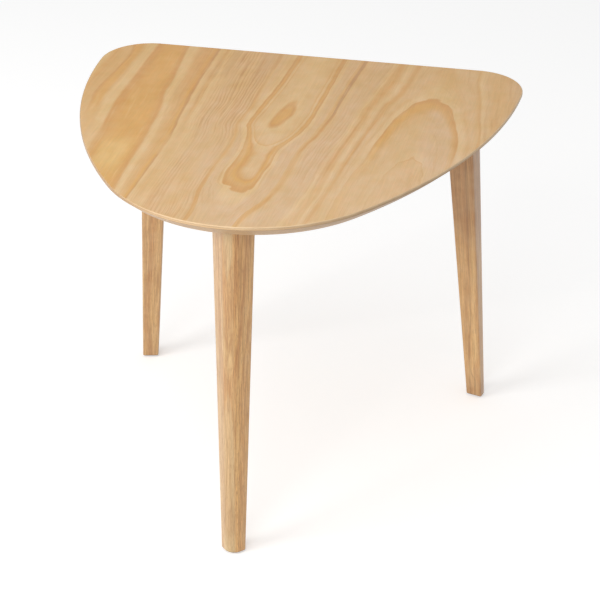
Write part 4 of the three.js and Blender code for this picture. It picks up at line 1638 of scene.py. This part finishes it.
def tints_of_the_front_leg(write, x, y, along, fray):
    """Pale wood down the outer corner, as wide as the curve says, with two pointed ends. Then how much of
    the left face is painted paler and cooler, as a painted reflection, and how much of the right face is
    painted warmer, as painted shade."""
    shares = [(place * MM, half / STRIP_SCALE) for place, half in CORNER_STRIP]
    half_width = write.times(write.curve(along, 0.0, DRAWN_LENGTH, shares), STRIP_SCALE * MM)
    aside = write.plus(y, fray)
    from_middle = write.size(write.plus(aside, 2.5 * MM))
    inside = write.span_mm(write.minus(half_width, from_middle), -0.3, 0.5, smooth=True)
    inside = write.math("MAXIMUM", inside, write.span_mm(from_middle, 9, 7, 0.0, 0.4, smooth=True))
    here = write.times(write.math("GREATER_THAN", x, 0.0), write.math("LESS_THAN", along, FRONT_LEG_BELOW))
    left_face_reflection = write.span_mm(y, -9, -10.6, smooth=True)
    right_face_shade = write.span_mm(aside, 4.5, 6, smooth=True)
    return [write.times(share, here) for share in (inside, left_face_reflection, right_face_shade)]


def strip_on_the_face(write, x, y, along, fray):
    """Pale wood along one arris of the right leg, and a dark thread beside it that hooks round a small knot
    above the foot."""
    tree_x, tree_y, base = TREE_PLACES["back_right"]
    x = write.minus(x, tree_x)
    aside = write.plus(x, fray)
    on_side = write.times(write.math("LESS_THAN", y, tree_y), write.math("LESS_THAN", x, 0.0))
    here = write.times(on_side, write.math("GREATER_THAN", along, RIGHT_LEG_ABOVE))
    shares = [(base + place * MM, 1 + middle / THREAD_SCALE) for place, middle in THREAD_ON_THE_FACE]
    share = write.curve(along, base, base + DRAWN_LENGTH, shares)
    middle = write.math("MULTIPLY_ADD", share, THREAD_SCALE * MM, -THREAD_SCALE * MM)
    pale = write.span_mm(aside, -6.2, -4.8, smooth=True)
    thread = write.span_mm(write.size(write.minus(aside, middle)), 1.3, 0.2)
    return write.times(pale, here), write.times(thread, here)


def painted_shade_on_right_leg(write, colour, height_up):
    """Painted shadow of the table top on the upper part of the right leg, and darker toward its foot."""
    toward_top = write.span_mm(height_up, 235, 315, smooth=True)
    toward_foot = write.span_mm(height_up, 62, 6, 0.0, 0.85, smooth=True)
    shaded = write.times(write.plus(toward_top, toward_foot), write.math("GREATER_THAN", height_up, 0.0))
    return write.blend(shaded, colour, write.tint(colour, (0.77, 0.70, 0.66, 1.0)))


print("points drawn by hand:", len(CORNER_STRIP) + len(THREAD_ON_THE_FACE))

# %% [markdown]
# The leg's material lays these over each other: rings, the drawn strips, streaks, fibres and clouds, then
# pores and flecks. Oil gives it a thin coat with a soft shine. Painted shade darkens the right leg under
# the table top and toward its foot. A thin edge round each foot is also painted darker, as the shade where
# it meets the floor.

# %% Leg material
def make_leg_wood():
    material, write, shader = make_material("oiled_leg_wood")
    grain = write.stored("grain", "Vector")
    x, y, along = write.split(grain)
    fibre = grouped(write, fibre_group, Place=grain, Fibre_width_mm=0.7, Pore_share=0.62)
    colour = leg_rings(write, x, y, along, grain)
    fray = write.sway(grain, (260.0, 260.0, 14.0), 1.6 * MM)
    corner_strip, left_face_reflection, right_face_shade = tints_of_the_front_leg(write, x, y, along, fray)
    face_strip, thread = strip_on_the_face(write, x, y, along, fray)
    # The strips are pale wood. The left face's tint is a painted reflection, and the right face's is a
    # painted warm shade.
    for share, tint in (
        (corner_strip, (1.01, 1.24, 1.68, 1.0)), (face_strip, (1.07, 1.12, 1.19, 1.0)),
        (left_face_reflection, (0.97, 1.07, 1.36, 1.0)), (right_face_shade, (1.08, 1.04, 0.97, 1.0))
    ):
        colour = write.tint(colour, write.blend(share, WHITE, tint))
    colour = write.cover(colour, linear(158, 104, 58), thread, 0.6)
    streak = write.drift(grain, (210.0, 210.0, 3.5), 0.33, 0.67, detail=4.0, roughness=0.7)
    colour = write.tint(colour, write.blend(streak, (0.84, 0.81, 0.77, 1.0), (1.09, 1.085, 1.065, 1.0)))
    colour = write.tint(colour, write.onto(fibre["Fibre"], 0.84, 1.08))
    clouds = write.blend(fibre["Cloud"], (0.90, 0.87, 0.83, 1.0), (1.06, 1.075, 1.07, 1.0))
    colour = write.cover(write.tint(colour, clouds), linear(150, 104, 64), fibre["Pore"], 0.45)
    strip = write.math("MAXIMUM", corner_strip, face_strip)
    calm = write.math("MINIMUM", write.onto(strip, 1.0, 0.5), write.span(along, 2.5, 2.6, 1.0, 0.7))
    colour = flecked(write, colour, grain, calm)
    # Painted shade: the right leg is darker under the table top and toward its foot.
    colour = painted_shade_on_right_leg(write, colour, write.minus(along, RIGHT_LEG_BASE))
    colour = write.cover(colour, linear(228, 196, 154), arris_wear_and_highlight(write, grain, 0.6), 0.35)
    # Painted shade: a thin edge round each foot is darker where it meets the floor.
    room_height = write.split(write.room_place())["Z"]
    painted_foot_shade = write.span_mm(room_height, 4.8, 2.8, 0.0, 0.65, smooth=True)
    looks = {
        "Base Color": write.blend(painted_foot_shade, colour, linear(118, 90, 64)),
        "Roughness": write.onto(fibre["Cloud"], 0.30, 0.42), "Specular IOR Level": 0.5, "Coat Weight": 0.5,
        "Coat Roughness": 0.3
    }
    height = write.minus(fibre["Fibre"], fibre["Pore"])
    return complete(material, write, shader, looks, height, 0.35, 0.06 * MM)


def paint(pieces, material):
    """Gives every piece that one material and no other."""
    for piece in pieces:
        piece.data.materials.clear()
        piece.data.materials.append(material)
    return len(pieces)


print("legs in wood:", paint(legs.values(), make_leg_wood()))

# %% [markdown]
# ## Metals and nylon
# Zinc plate shows fine rolling lines and faint cloudy spangle, and yellow zinc shifts between gold and a
# greener tint. Blackened bolts are a faint cloud between two near-blacks. One group makes the clouds and
# fine scratches, and each metal places it with its own colours.

# %% Metal finish group and materials
def make_metal_group():
    tree, write, given, result = make_group(
        "plated_metal",
        [
            ("Place", "Vector", None), ("Cloud size mm", "Float", 4.0), ("First", "Color", None),
            ("Second", "Color", None)
        ],
        [("Color", "Color"), ("Rough", "Float"), ("Scratch", "Float")]
    )
    per_metre = write.over(1000.0, given["Cloud size mm"])
    cloud_place = write.vector("SCALE", {0: given["Place"], "Scale": per_metre})
    cloud = write.span(write.noise(cloud_place, detail=3.0, roughness=0.6), 0.32, 0.68)
    write.feed(result["Color"], write.blend(cloud, given["First"], given["Second"]))
    write.feed(result["Rough"], cloud)
    scratches = write.drift(given["Place"], (5200.0, 260.0, 5200.0), 0.3, 0.7, roughness=0.7)
    write.feed(result["Scratch"], scratches)
    lay_out(tree)
    return tree


metal_group = make_metal_group()


def make_metal(name, first, second, smooth, rough, cloud_mm):
    material, write, shader = make_material(name)
    place = write.room_place()
    plated = grouped(write, metal_group, Place=place, Cloud_size_mm=cloud_mm, First=first, Second=second)
    looks = {
        "Base Color": plated["Color"], "Metallic": 1.0,
        "Roughness": write.onto(plated["Rough"], smooth, rough)
    }
    return complete(material, write, shader, looks, plated["Scratch"], 0.2, 0.02 * MM)


def make_nylon():
    """Slightly translucent off-white plastic: a mottled base under a soft sheen, with moulding texture as
    bump."""
    material, write, shader = make_material("moulded_nylon")
    place = write.room_place()
    mottle = write.span(write.noise(place, 380.0, detail=3.0), 0.3, 0.7)
    looks = {
        "Base Color": write.blend(mottle, linear(226, 222, 210), linear(238, 235, 226)),
        "Roughness": write.onto(mottle, 0.48, 0.6), "Subsurface Weight": 0.1,
        "Subsurface Radius": (0.002, 0.0018, 0.0015)
    }
    return complete(material, write, shader, looks, write.noise(place, 2600.0), 0.2, 0.03 * MM)


zinc = make_metal("bright_zinc_plate", linear(196, 199, 202), linear(170, 174, 180), 0.28, 0.45, 6.0)
yellow_zinc = make_metal("yellow_zinc_plate", linear(214, 184, 110), linear(188, 170, 118), 0.26, 0.4, 2.0)
black_steel = make_metal("blackened_steel", linear(48, 48, 50), linear(74, 74, 76), 0.38, 0.55, 1.5)
cast_zinc = make_metal("die_cast_zinc", linear(176, 174, 168), linear(150, 149, 146), 0.42, 0.6, 1.2)
finishes = (
    (plates, zinc), (wood_screws, yellow_zinc), (bolts, black_steel), (inserts, cast_zinc),
    (glides, make_nylon())
)
print("metals and nylon on", sum(paint(pieces, finish) for pieces, finish in finishes), "pieces")
